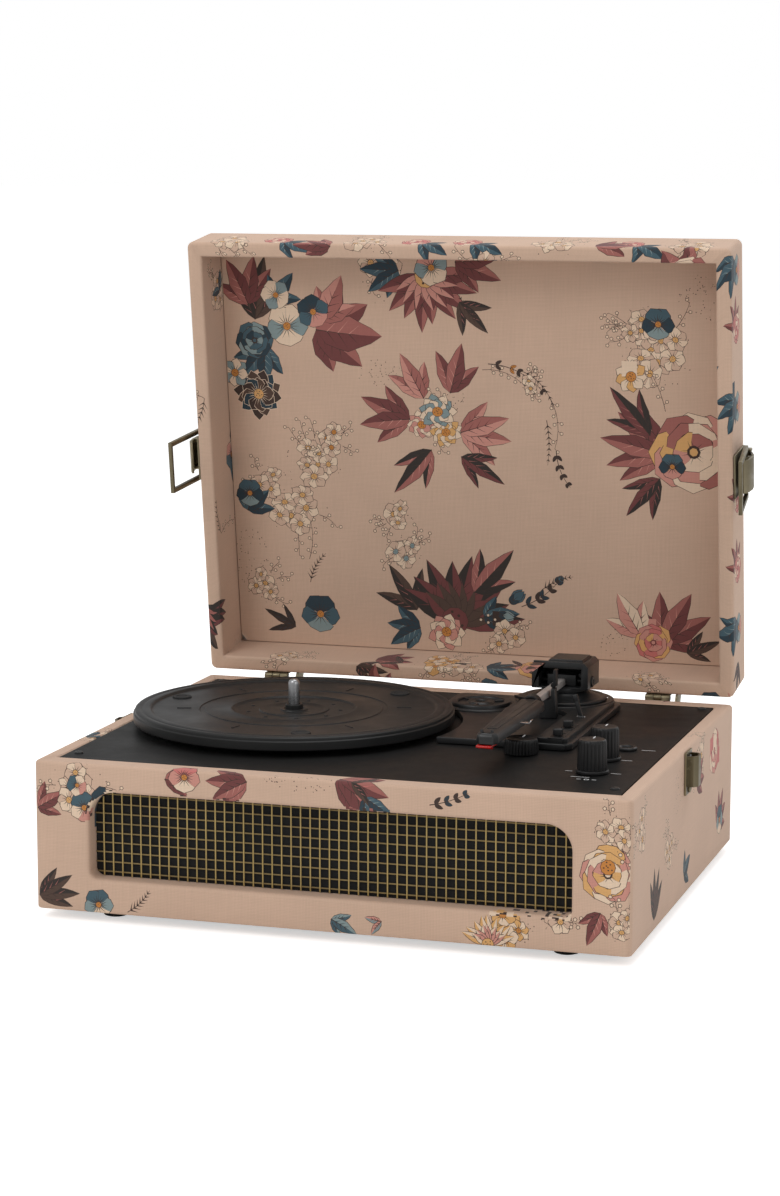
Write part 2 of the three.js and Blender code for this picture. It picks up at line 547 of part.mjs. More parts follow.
function buildHandle() {
  const { y, z } = HANDLE_PIN;
  const lug = (x) => slabAlongX(polygon([[BACK + GAP, z - 6], [y + 3, z - 4], [y + 4, z], [y + 3, z + 4],
    [BACK + GAP, z + 6]]), x - 2, x + 2);
  for (const [side, s] of SIDES) {
    const x = s * HANDLE_X;
    add(`handle_mount_${side}`, cut(join(
      block(x - 9, x + 9, BACK + GAP, BACK + 1.6, z - 9, z + 9), lug(x)),
    rodAlongX(2.5, x - 5, x + 5, y, z, 16)), bronze);
  }
  const grip = slabAlongX(roundedRect(9, 12, 4, y + 0.5, z - 30), -36, 36, 4);
  const legs = [-1, 1].map((s) => block(s * 43 - 3, s * 43 + 3, y - 2.6, y + 2.6, z - 33, z + 4));
  const bar = rodAlongX(3, -45, 45, y + 0.3, z - 30, 14);
  const pins = [-1, 1].map((s) => rodAlongX(2.2, Math.min(s * 41, s * 53), Math.max(s * 41, s * 53), y, z, 16));
  add('handle_grip', join(grip, bar, ...legs, ...pins), knobBlack);
}

// ---- lid, built shut and then turned open about the hinge pin ----
function buildLid() {
  const lid = new THREE.Group();
  lid.position.set(0, HINGE_Y, HINGE_Z);
  lid.rotation.x = -LID_OPEN_DEG * Math.PI / 180;
  player.add(lid);
  const shut = (geometry) => geometry.translate(0, -HINGE_Y, -HINGE_Z);
  const rim = CASE_TOP + LID_SEAT;
  add('lid_walls', shut(walls(CASE_W, CASE_D, LID_WALL, LID_WALL, rim, rim + LID_H)), cloth, lid);
  const [w, d] = [CASE_W / 2 - LID_WALL - GAP, CASE_D / 2 - LID_WALL - GAP];
  const inner = rim + LID_FLOOR_DEPTH;
  add('lid_panel', shut(block(-w, w, -d, d, inner, inner + LID_FLOOR_T)), cloth, lid);
  for (const { side, x } of HINGES) {
    add(`hinge_lid_${side}`, shut(hingeLeaf(x, 1, [[-2.5, 2.5]], 20)), bronze, lid);
  }
  for (const [side, s] of SIDES) {
    buildLatch(s, (name, geometry) => add(`${name}_${side}`, shut(geometry), bronze, lid));
  }
}

// A draw latch on the lid: a plate with the lever's pin, the lever, and the loop that it pulls.
function buildLatch(s, addShut) {
  const at = (out) => s * (CASE_W / 2 + out);
  const slice = (a, b) => [Math.min(at(a), at(b)), Math.max(at(a), at(b))];
  const outline = (points, z) => polygon(points.map(([out, dz]) => [at(out), z + dz]));
  const bore = (pin) => rodAlongY(1.5, -20, 20, at(pin.out), pin.z, 14);
  const rim = CASE_TOP + LID_SEAT;
  const lugs = [-1, 1].map((e) =>
    block(...slice(1, 7), e * 12 - 1, e * 12 + 1, LATCH_PIN.z - 2.5, LATCH_PIN.z + 2.5));
  addShut('latch_plate', join(block(...slice(GAP, 1.5), -LATCH_Y - 1, LATCH_Y + 1, rim + 2, LATCH_PIN.z + 5),
    ...lugs, rodAlongY(1.2, -LATCH_Y, LATCH_Y, at(LATCH_PIN.out), LATCH_PIN.z, 14)));
  // lever: curved cover with ears that carry the loop
  const cover = outline([[3.2, 2.2], [6.6, 2.6], [9.4, -5], [10, -12], [9, -20], [6.5, -24.5], [5.4, -23.6],
    [7.6, -19], [8.4, -12], [7.8, -5.5], [6.4, -2.6], [3.2, -2.4]], LATCH_PIN.z);
  const ears = [-1, 1].map((e) =>
    block(...slice(3.2, 8.2), e * 9.2 - 1.1, e * 9.2 + 1.1, LOOP_PIN.z - 2.6, LOOP_PIN.z + 2.6));
  addShut('latch_lever', cut(join(slabAlongY(cover, -10.4, 10.4), ...ears), bore(LATCH_PIN), bore(LOOP_PIN)));
  // loop: side arms from the pin down to the bar that hooks under the catch
  const arm = polygon([[at(LOOP_PIN.out - 1.3), LOOP_PIN.z + 2], [at(LOOP_PIN.out + 1.3), LOOP_PIN.z + 2],
    [at(10.9), LOOP_BAR_Z - 1.2], [at(8.6), LOOP_BAR_Z - 1.2]]);
  const arms = [-1, 1].map((e) => slabAlongY(arm, e * 15.4 - 1.4, e * 15.4 + 1.4));
  addShut('latch_loop', join(...arms, rodAlongY(1.2, -16, 16, at(LOOP_PIN.out), LOOP_PIN.z, 14),
    block(...slice(8.6, 10.9), -16, 16, LOOP_BAR_Z - 1.2, LOOP_BAR_Z + 1.2)));
}

// ---- catches on the base, which the loops hook under ----
function buildCatches() {
  for (const [side, s] of SIDES) {
    const at = (out) => s * (CASE_W / 2 + out);
    const slice = (a, b) => [Math.min(at(a), at(b)), Math.max(at(a), at(b))];
    const plate = block(...slice(GAP, 1.4), -8, 8, CASE_TOP - 26.5, CASE_TOP - 0.8);
    const bow = polygon([[1, -6.8], [5.4, -6.4], [7.8, -3.4], [7.8, 3.4], [5.4, 6.4], [1, 6.8], [1, 5.4], [4.8, 5],
      [6.5, 2.8], [6.5, -2.8], [4.8, -5], [1, -5.4]].map(([out, y]) => [at(out), y]));
    const knob = turned([[0, 0], [2.6, 0], [2.6, 1.2], [0, 2]], 0, 0, 14).rotateY(s * Math.PI / 2)
      .translate(at(1.2), 0, CASE_TOP - 23.4);
    add(`catch_${side}`, join(plate, slab(bow, CASE_TOP - 21.4, CASE_TOP - 3), knob), bronze);
  }
}

buildCase();
buildGrille();
buildPlate();
buildDeck();
buildAdapter();
buildPlatter();
buildMotor();
buildElectronics();
buildArmSupport();
buildArm();
buildControls();
buildHinges();
buildHandle();
buildLid();
buildCatches();

// The open lid's hinge wall reaches furthest back.
const rearY = openWall(LID_H + LID_SEAT + CASE_TOP - HINGE_Z)[0];
player.position.y = -(FRONT + rearY) / 2;

export default player;
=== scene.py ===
"""Looks for a suitcase record player: printed cloth covering, black mouldings and bronze fittings.

Lengths are in millimetres in "case" coordinates, X and Y from the middle of the case and Z up from
the floor, until a mesh is placed in the frame in metres. Lid pieces are drawn shut, then turned open.
"""
import json
import math
import random

import bmesh
import bpy
from mathutils import Matrix, Vector
from mathutils.geometry import delaunay_2d_cdt


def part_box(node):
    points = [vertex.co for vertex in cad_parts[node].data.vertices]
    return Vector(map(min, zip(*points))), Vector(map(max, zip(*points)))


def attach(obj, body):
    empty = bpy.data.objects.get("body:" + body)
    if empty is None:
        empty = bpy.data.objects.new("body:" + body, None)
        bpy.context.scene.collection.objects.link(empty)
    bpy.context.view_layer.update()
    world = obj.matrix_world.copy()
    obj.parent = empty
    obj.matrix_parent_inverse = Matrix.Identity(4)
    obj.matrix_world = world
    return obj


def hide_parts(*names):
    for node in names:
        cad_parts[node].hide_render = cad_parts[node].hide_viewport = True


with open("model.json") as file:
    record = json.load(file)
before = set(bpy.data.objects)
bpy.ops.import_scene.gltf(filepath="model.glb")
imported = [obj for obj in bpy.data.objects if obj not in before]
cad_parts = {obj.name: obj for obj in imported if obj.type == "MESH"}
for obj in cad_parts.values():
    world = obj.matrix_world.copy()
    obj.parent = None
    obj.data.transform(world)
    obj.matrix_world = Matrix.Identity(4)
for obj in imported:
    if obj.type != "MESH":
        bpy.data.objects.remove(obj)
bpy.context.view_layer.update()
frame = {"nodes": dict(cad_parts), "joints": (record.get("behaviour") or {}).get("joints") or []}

MM = 0.001
TAU = 2 * math.pi


# ---------------------------------------------------------------- sizes from the frame

def node_box(name):
    """A node's box in millimetres, as (lowest, highest)."""
    low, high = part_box(name)
    return low / MM, high / MM


def joint(name):
    return next(j for j in frame["joints"] if j["name"] == name)


BASE_LOW, BASE_HIGH = node_box("base_walls")
CENTRE_Y = (BASE_LOW.y + BASE_HIGH.y) / 2
HALF_W = (BASE_HIGH.x - BASE_LOW.x) / 2
HALF_D = (BASE_HIGH.y - BASE_LOW.y) / 2
BASE_Z = BASE_LOW.z
RIM_Z = BASE_HIGH.z
PLATE_Z = node_box("top_plate")[1].z
# how thick the CAD part's walls are: the base's at the sides, its front and back, and the lid's
SIDE_T, END_T = 10.0, 13.4
LID_WALL = 9.5
LID_SEAT = RIM_Z + 0.4
LID_TOP = LID_SEAT + 38
LID_FLOOR = LID_SEAT + 34.5
HINGE = Vector(joint("lid_hinge")["pos_m"])
LID_OPEN = math.radians(joint("lid_hinge")["range_deg"][1])

TO_FRAME = Matrix.Translation((0, CENTRE_Y * MM, 0)) @ Matrix.Diagonal((MM, MM, MM, 1))
OPEN_LID = Matrix.Translation(HINGE) @ Matrix.Rotation(-LID_OPEN, 4, "X") @ Matrix.Translation(-HINGE)


def centre_of(name):
    """The middle of a node, in case coordinates."""
    low, high = node_box(name)
    middle = (low + high) / 2
    return Vector((middle.x, middle.y - CENTRE_Y, middle.z))


def pivot_of(name):
    """A joint's pivot, in case coordinates."""
    point = Vector(joint(name)["pos_m"]) / MM
    return Vector((point.x, point.y - CENTRE_Y, point.z))


# ---------------------------------------------------------------- camera, light and floor

def srgb(red, green, blue):
    """A linear colour from 0 to 255 screen values."""
    def linear(c):
        c /= 255
        return c / 12.92 if c <= 0.04045 else ((c + 0.055) / 1.055) ** 2.4
    return (linear(red), linear(green), linear(blue), 1.0)


CAMERA_AZIMUTH, CAMERA_ELEVATION = 17.39, 9.02
CAMERA_DISTANCE = 1.789
CAMERA_TARGET = Vector((-0.0061, CENTRE_Y * MM, 0.1755))
CAMERA_LENS = 89.2


def make_camera():
    azimuth, elevation = math.radians(CAMERA_AZIMUTH), math.radians(CAMERA_ELEVATION)
    away = Vector((math.sin(azimuth) * math.cos(elevation), -math.cos(azimuth) * math.cos(elevation),
                   math.sin(elevation)))
    data = bpy.data.cameras.new("camera")
    data.sensor_width = 36
    data.lens = CAMERA_LENS
    data.clip_end = 60
    camera = bpy.data.objects.new("camera", data)
    camera.location = CAMERA_TARGET + away * CAMERA_DISTANCE
    camera.rotation_euler = (-away).to_track_quat("-Z", "Y").to_euler()
    bpy.context.scene.collection.objects.link(camera)
    bpy.context.scene.camera = camera


def area_light(name, place, target, size, power):
    data = bpy.data.lights.new(name, "AREA")
    data.shape = "DISK"
    data.size = size
    data.energy = power
    light = bpy.data.objects.new(name, data)
    light.location = place
    light.rotation_euler = (Vector(target) - Vector(place)).to_track_quat("-Z", "Y").to_euler()
    bpy.context.scene.collection.objects.link(light)


# name, place in metres, size in metres, power in watts
LIGHTS = (("key", (-1.1, -1.9, 1.9), 1.5, 20), ("fill", (1.9, -1.5, 0.9), 1.6, 5),
          ("top", (0.1, 0.3, 2.3), 1.8, 16), ("back", (0.6, 2.0, 1.4), 1.4, 9))
LIGHTS_AIM = (0, -0.02, 0.18)
WORLD_LIGHT = 0.5
FLOOR_RADIUS = 22
FLOOR_WHITE = (0.93, 0.93, 0.93, 1)
FLOOR_GLOW = 0.55


def seen_or_lit(tree, seen, lit):
    """One value for what the camera sees of the studio and another for the light it gives."""
    path = tree.nodes.new("ShaderNodeLightPath").outputs["Is Camera Ray"]
    choice = tree.nodes.new("ShaderNodeMapRange")
    choice.inputs["To Min"].default_value = lit
    choice.inputs["To Max"].default_value = seen
    tree.links.new(path, choice.inputs["Value"])
    return choice.outputs["Result"]


def make_studio():
    world = bpy.data.worlds.new("studio")
    world.use_nodes = True
    back = world.node_tree.nodes["Background"].inputs
    back["Color"].default_value = (1, 1, 1, 1)
    world.node_tree.links.new(seen_or_lit(world.node_tree, 1.0, WORLD_LIGHT), back["Strength"])
    bpy.context.scene.world = world
    bpy.context.scene.view_settings.view_transform = "Standard"
    for name, place, size, power in LIGHTS:
        area_light(name, place, LIGHTS_AIM, size, power)
    mesh = bmesh.new()
    bmesh.ops.create_circle(mesh, cap_ends=True, segments=64, radius=FLOOR_RADIUS)
    data = bpy.data.meshes.new("floor")
    mesh.to_mesh(data)
    mesh.free()
    floor = bpy.data.objects.new("floor", data)
    bpy.context.scene.collection.objects.link(floor)
    white = plain("floor_white", FLOOR_WHITE, rough=0.8, grain=None, mottle=0.0)
    shader = white.node_tree.nodes["Principled BSDF"].inputs
    shader["Emission Color"].default_value = (1, 1, 1, 1)
    white.node_tree.links.new(seen_or_lit(white.node_tree, FLOOR_GLOW, 0.0), shader["Emission Strength"])
    data.materials.append(white)


# ---------------------------------------------------------------- materials

class Nodes:
    """A short way to wire up a material's nodes."""

    def __init__(self, name):
        self.material = bpy.data.materials.new(name)
        self.material.use_nodes = True
        self.tree = self.material.node_tree
        self.shader = self.tree.nodes["Principled BSDF"]

    def add(self, kind, **inputs):
        node = self.tree.nodes.new(kind)
        for key, value in inputs.items():
            name = key.replace("_", " ")
            if name in node.inputs:
                self.set(node.inputs[name], value)
            else:
                setattr(node, key, value)
        return node

    def set(self, socket, value):
        if isinstance(value, bpy.types.NodeSocket):
            self.tree.links.new(value, socket)
        else:
            socket.default_value = value

    def math(self, operation, a, b=0.0):
        node = self.tree.nodes.new("ShaderNodeMath")
        node.operation = operation
        self.set(node.inputs[0], a)
        self.set(node.inputs[1], b)
        return node.outputs[0]

    def position(self, scale=(1, 1, 1)):
        coordinates = self.tree.nodes.new("ShaderNodeTexCoord").outputs["Object"]
        return self.scaled(coordinates, scale)

    def scaled(self, vector, scale):
        node = self.tree.nodes.new("ShaderNodeVectorMath")
        node.operation = "MULTIPLY"
        self.set(node.inputs[0], vector)
        node.inputs[1].default_value = scale
        return node.outputs[0]

    def noise(self, vector, scale, detail=3.0, rough=0.55):
        return self.add("ShaderNodeTexNoise", Vector=vector, Scale=scale, Detail=detail,
                        Roughness=rough).outputs["Fac"]

    def remap(self, value, low, high, start=0.0, end=1.0):
        node = self.add("ShaderNodeMapRange", Value=value)
        node.inputs["From Min"].default_value = start
        node.inputs["From Max"].default_value = end
        node.inputs["To Min"].default_value = low
        node.inputs["To Max"].default_value = high
        return node.outputs["Result"]

    def mix(self, factor, a, b, blend="MIX"):
        node = self.tree.nodes.new("ShaderNodeMix")
        node.data_type = "RGBA"
        node.blend_type = blend
        self.set(node.inputs["Factor"], factor)
        self.set(node.inputs[6], a)
        self.set(node.inputs[7], b)
        return node.outputs[2]

    def bump(self, height, strength, distance):
        node = self.add("ShaderNodeBump", Height=height, Strength=strength, Distance=distance)
        self.tree.links.new(node.outputs["Normal"], self.shader.inputs["Normal"])


def plain(name, colour, rough=0.5, metal=0.0, coat=0.0, grain=(900, 0.06), mottle=0.12, sheen=0.0,
          gloss=0.5):
    """A moulded, painted or plated surface: faint mottling of colour and gloss over a fine grain."""
    n = Nodes(name)
    n.shader.inputs["Metallic"].default_value = metal
    n.shader.inputs["Coat Weight"].default_value = coat
    n.shader.inputs["Sheen Weight"].default_value = sheen
    n.shader.inputs["Specular IOR Level"].default_value = gloss
    cloud = n.noise(n.position(), 38.0)
    lighter = tuple(min(1.0, c * (1 + mottle)) for c in colour[:3]) + (1.0,)
    darker = tuple(c * (1 - mottle) for c in colour[:3]) + (1.0,)
    n.set(n.shader.inputs["Base Color"], n.mix(n.remap(cloud, 0, 1, 0.3, 0.7), darker, lighter))
    n.set(n.shader.inputs["Roughness"], n.remap(cloud, max(0.02, rough - 0.06), rough + 0.06, 0.3, 0.7))
    if grain:
        n.bump(n.noise(n.position(), grain[0], 2.0), grain[1], 0.0004)
    return n.material


def aged_metal(name, body, worn, rough=0.38, metal=0.85):
    """Darkened plating, rubbed pale in patches and along its edges."""
    n = Nodes(name)
    n.shader.inputs["Metallic"].default_value = metal
    cloud = n.noise(n.position(), 160.0, 4.0)
    fine = n.noise(n.position(), 900.0, 2.0)
    edge = n.tree.nodes.new("ShaderNodeNewGeometry").outputs["Pointiness"]
    rubbed = n.math("MAXIMUM", n.remap(edge, 0, 1, 0.52, 0.6), n.remap(cloud, 0, 0.5, 0.5, 0.75))
    n.set(n.shader.inputs["Base Color"], n.mix(rubbed, body, worn))
    n.set(n.shader.inputs["Roughness"], n.remap(cloud, rough - 0.1, rough + 0.16, 0.3, 0.7))
    n.bump(fine, 0.12, 0.0003)
    return n.material


def printed_cloth(name):
    """Linen-look covering: the print is a colour on each face, under an uneven plain weave."""
    n = Nodes(name)
    n.shader.inputs["Roughness"].default_value = 0.86
    n.shader.inputs["Sheen Weight"].default_value = 0.12
    n.shader.inputs["Sheen Roughness"].default_value = 0.5
    ink = n.add("ShaderNodeAttribute", attribute_name="print").outputs["Color"]
    thread = n.add("ShaderNodeAttribute", attribute_name="cloth").outputs["Vector"]
    slub_across = n.noise(n.scaled(thread, (0.035, 1.1, 1)), 1.0, 3.0)
    slub_along = n.noise(n.scaled(thread, (1.1, 0.035, 1)), 1.0, 3.0)
    waves = []
    for direction, slub in (("X", slub_along), ("Y", slub_across)):
        wave = n.add("ShaderNodeTexWave", Vector=thread, Scale=0.36, Distortion=0.8, Detail=1.0)
        wave.bands_direction = direction
        waves.append(n.math("ADD", wave.outputs["Fac"], n.math("MULTIPLY", slub, 1.3)))
    weave = n.math("MULTIPLY", n.math("ADD", waves[0], waves[1]), 0.5)
    cloud = n.noise(thread, 0.02, 2.0)
    light = n.math("MULTIPLY", n.remap(weave, 0.86, 1.09, 0.5, 1.7), n.remap(cloud, 0.97, 1.03, 0.3, 0.7))
    shade = n.add("ShaderNodeCombineXYZ", X=light, Y=light, Z=light).outputs[0]
    n.set(n.shader.inputs["Base Color"], n.mix(1.0, ink, shade, "MULTIPLY"))
    n.bump(weave, 0.5, 0.00018)
    return n.material


def black_weave(name):
    """Open black speaker cloth."""
    n = Nodes(name)
    n.shader.inputs["Roughness"].default_value = 0.95
    place = n.position()
    wave_x = n.add("ShaderNodeTexWave", Vector=place, Scale=420.0).outputs["Fac"]
    wave_z = n.add("ShaderNodeTexWave", Vector=place, Scale=420.0)
    wave_z.bands_direction = "Z"
    weave = n.math("MULTIPLY", wave_x, wave_z.outputs["Fac"])
    n.set(n.shader.inputs["Base Color"], n.mix(weave, (0.004, 0.004, 0.004, 1), (0.022, 0.021, 0.02, 1)))
    n.bump(weave, 0.5, 0.0003)
    return n.material


INKS = {
    "ground": srgb(205, 173, 150),
    "cream": srgb(226, 200, 174),
    "line": srgb(62, 46, 40),
    "dark": srgb(50, 42, 38),
    "brown": srgb(82, 62, 52),
    "rose": srgb(160, 98, 90),
    "rose_dark": srgb(112, 60, 58),
    "rose_pale": srgb(200, 140, 126),
    "pink": srgb(196, 112, 106),
    "teal": srgb(66, 90, 100),
    "teal_dark": srgb(40, 58, 68),
    "teal_pale": srgb(130, 146, 146),
    "ochre": srgb(196, 128, 60),
    "ochre_pale": srgb(214, 164, 104),
}

CLOTH = printed_cloth("printed_cloth")
PLATE = plain("plate_black", (0.008, 0.0078, 0.0076, 1), rough=0.5, grain=(2600, 0.12), gloss=0.2)
MOULDED = plain("moulded_black", (0.011, 0.0115, 0.012, 1), rough=0.36, grain=(1500, 0.05), gloss=0.5)
PLATTER = plain("platter_black", (0.017, 0.0172, 0.0172, 1), rough=0.4, grain=(1200, 0.02), mottle=0.05,
                gloss=0.25)
KNOB = plain("knob_black", (0.008, 0.008, 0.0084, 1), rough=0.38, grain=(1800, 0.05), gloss=0.35)
RUBBER = plain("rubber_black", (0.012, 0.012, 0.012, 1), rough=0.8, grain=(1400, 0.2))
ARM_METAL = plain("arm_metal", (0.56, 0.51, 0.48, 1), rough=0.45, metal=0.6, grain=(2200, 0.04), mottle=0.05)
CHROME = plain("chrome", (0.78, 0.78, 0.79, 1), rough=0.09, metal=1.0, grain=None, mottle=0.03)
STEEL = plain("steel", (0.42, 0.42, 0.43, 1), rough=0.3, metal=1.0, grain=(1600, 0.05))
BRASS = plain("brass", (0.52, 0.36, 0.13, 1), rough=0.28, metal=1.0, grain=(1600, 0.04))
RED = plain("stylus_red", (0.55, 0.008, 0.006, 1), rough=0.28, grain=None, coat=0.3)
GOLD_FRONT = plain("grille_gold", (0.44, 0.32, 0.12, 1), rough=0.38, metal=0.55, grain=None)
# the level wires' gold: a darker copy of the uprights' gold, painted shade for wires lying behind them
GOLD_SHADED = plain("grille_gold_painted_shade", (0.25, 0.18, 0.075, 1), rough=0.45, metal=0.5, grain=None)
SPEAKER_CLOTH = black_weave("speaker_cloth")
BRONZE = aged_metal("bronze", (0.075, 0.058, 0.030, 1), (0.36, 0.31, 0.2, 1))
WHITE_INK = plain("white_marks", (0.75, 0.75, 0.75, 1), rough=0.6, grain=None, mottle=0.04)
LINING = plain("lining_cloth", (0.018, 0.017, 0.016, 1), rough=0.9, grain=(700, 0.4), sheen=0.2)
BOARD = plain("fibre_board", (0.24, 0.15, 0.08, 1), rough=0.85, grain=(300, 0.3), mottle=0.25)
CONE = plain("speaker_black", (0.02, 0.02, 0.02, 1), rough=0.7, grain=(500, 0.2))
CIRCUIT = plain("circuit_board", (0.012, 0.10, 0.045, 1), rough=0.35, coat=0.3)


# ---------------------------------------------------------------- mesh tools

def fillet(points, radius, steps=4, closed=True):
    """The outline with its corners rounded. radius is one number, or one for each point."""
    count = len(points)
    radii = radius if hasattr(radius, "__len__") else [radius] * count
    out = []
    for i, corner in enumerate(points):
        if not closed and i in (0, count - 1):
            out.append(tuple(corner))
            continue
        here = Vector(corner)
        before, after = Vector(points[i - 1]) - here, Vector(points[(i + 1) % count]) - here
        turn = before.angle(after)
        if radii[i] <= 0 or turn > math.radians(176):
            out.append(tuple(corner))
            continue
        reach = min(radii[i] / math.tan(turn / 2), before.length * 0.49, after.length * 0.49)
        start, end = here + before.normalized() * reach, here + after.normalized() * reach
        for k in range(steps + 1):
            f = k / steps
            out.append(tuple(start * (1 - f) ** 2 + here * 2 * f * (1 - f) + end * f ** 2))
    return out


def rectangle(x0, x1, y0, y1):
    return [(x0, y0), (x1, y0), (x1, y1), (x0, y1)]


def arc(cx, cy, r, start, end, steps):
    """Points on an arc, in degrees, both ends included."""
    return [(cx + r * math.cos(math.radians(start + (end - start) * i / steps)),
             cy + r * math.sin(math.radians(start + (end - start) * i / steps))) for i in range(steps + 1)]


AXES = {"X": lambda a, b, c: (c, a, b), "Y": lambda a, b, c: (a, c, b), "Z": lambda a, b, c: (a, b, c)}


def soften(mesh, width, segments=2, angle=28):
    """Rounds the mesh's sharp edges."""
    if width <= 0:
        return mesh
    sharp = [e for e in mesh.edges if len(e.link_faces) == 2 and e.calc_face_angle(0) > math.radians(angle)]
    bmesh.ops.bevel(mesh, geom=sharp, offset=width, segments=segments, profile=0.6, affect="EDGES",
                    clamp_overlap=True)
    return mesh


def prism(outline, low, high, axis="Z", edge=0.3, segments=2):
    """An outline extruded along an axis, with rounded edges. Along Y it is (x, z), along X it is (y, z)."""
    mesh = bmesh.new()
    to = AXES[axis]
    rings = [[mesh.verts.new(to(a, b, level)) for a, b in outline] for level in (low, high)]
    stitch(mesh, rings)
    mesh.faces.new(list(reversed(rings[0])))
    mesh.faces.new(rings[1])
    bmesh.ops.recalc_face_normals(mesh, faces=mesh.faces)
    return soften(mesh, edge, segments)


def block(x0, x1, y0, y1, z0, z1, edge=0.3, segments=2):
    return prism(rectangle(x0, x1, y0, y1), z0, z1, edge=edge, segments=segments)


def lathe(profile, x=0.0, y=0.0, segments=96, axis="Z", ring=False):
    """A profile of (radius, height) turned about an axis through x, y. A ring's profile closes on itself."""
    mesh = bmesh.new()
    to = AXES[axis]
    columns = []
    for k in range(segments):
        a = TAU * k / segments
        columns.append([None if r < 1e-6 else mesh.verts.new(to(x + r * math.cos(a), y + r * math.sin(a), z))
                        for r, z in profile])
    poles = {i: mesh.verts.new(to(x, y, z)) for i, (r, z) in enumerate(profile) if r < 1e-6}
    last = len(profile) if ring else len(profile) - 1
    for k in range(segments):
        here, after = columns[k], columns[(k + 1) % segments]
        for i in range(last):
            j = (i + 1) % len(profile)
            corners = [here[i] or poles[i], after[i] or poles[i], after[j] or poles[j], here[j] or poles[j]]
            unique = list(dict.fromkeys(corners))
            if len(unique) > 2:
                mesh.faces.new(unique)
    bmesh.ops.recalc_face_normals(mesh, faces=mesh.faces)
    return mesh


def merged(*meshes):
    """Several meshes in one, as separate solids."""
    whole = bmesh.new()
    for part in meshes:
        data = bpy.data.meshes.new("part")
        part.to_mesh(data)
        part.free()
        whole.from_mesh(data)
        bpy.data.meshes.remove(data)
    return whole


def stitch(mesh, rings):
    """Faces between each closed ring of corners and the next."""
    for ring, after in zip(rings, rings[1:]):
        for i in range(len(ring)):
            k = (i + 1) % len(ring)
            mesh.faces.new((ring[i], ring[k], after[k], after[i]))


def moved(mesh, matrix):
    bmesh.ops.transform(mesh, matrix=matrix, verts=mesh.verts)
    return mesh


def placed(mesh, place, turn=0.0, axis="Z"):
    """A mesh drawn about the origin, turned by an angle in degrees and set in its place."""
    return moved(mesh, Matrix.Translation(place) @ Matrix.Rotation(math.radians(turn), 4, axis))


def piece(name, mesh, material, body, replaced=(), lid=False, smooth=32):
    """Places a mesh in the frame as a named piece that rides on a body."""
    data = bpy.data.meshes.new(name)
    mesh.to_mesh(data)
    mesh.free()
    data.transform(OPEN_LID @ TO_FRAME if lid else TO_FRAME)
    data.materials.append(material)
    data.shade_smooth()
    data.set_sharp_from_angle(angle=math.radians(smooth))
    obj = bpy.data.objects.new(name, data)
    bpy.context.scene.collection.objects.link(obj)
    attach(obj, body)
    if replaced:
        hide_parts(*replaced)
    return obj


def refined(node, name, material, body, edge=0.35, extra=()):
    """The CAD node's own shape with its edges rounded. Extra meshes, in case coordinates, are added to it."""
    mesh = bmesh.new()
    mesh.from_mesh(frame["nodes"][node].data)
    bmesh.ops.transform(mesh, matrix=TO_FRAME.inverted(), verts=mesh.verts)
    bmesh.ops.remove_doubles(mesh, verts=mesh.verts, dist=1e-3)
    bmesh.ops.dissolve_limit(mesh, angle_limit=math.radians(1.5), verts=mesh.verts, edges=mesh.edges)
    soften(mesh, edge)
    return piece(name, merged(mesh, *extra), material, body, (node,))


def dress(material, *nodes):
    """Gives CAD nodes that stay in view a better material."""
    for node in nodes:
        data = frame["nodes"][node].data
        data.materials.clear()
        data.materials.append(material)


# ---------------------------------------------------------------- printed cloth

TILE = 10.0


def clip_side(polygon, a, b):
    """The part of a polygon on the left of the line from a to b."""
    def side(p):
        return (b[0] - a[0]) * (p[1] - a[1]) - (b[1] - a[1]) * (p[0] - a[0])
    out = []
    for i, here in enumerate(polygon):
        before = polygon[i - 1]
        s0, s1 = side(before), side(here)
        if s0 * s1 < 0:
            f = s0 / (s0 - s1)
            out.append((before[0] + (here[0] - before[0]) * f, before[1] + (here[1] - before[1]) * f))
        if s1 >= 0:
            out.append(here)
    return out


def clip_box(polygon, x0, x1, y0, y1):
    for a, b in (((x0, y0), (x1, y0)), ((x1, y0), (x1, y1)), ((x1, y1), (x0, y1)), ((x0, y1), (x0, y0))):
        if polygon:
            polygon = clip_side(polygon, a, b)
    return polygon


def area_of(polygon):
    return sum(polygon[i - 1][0] * p[1] - p[0] * polygon[i - 1][1] for i, p in enumerate(polygon)) / 2


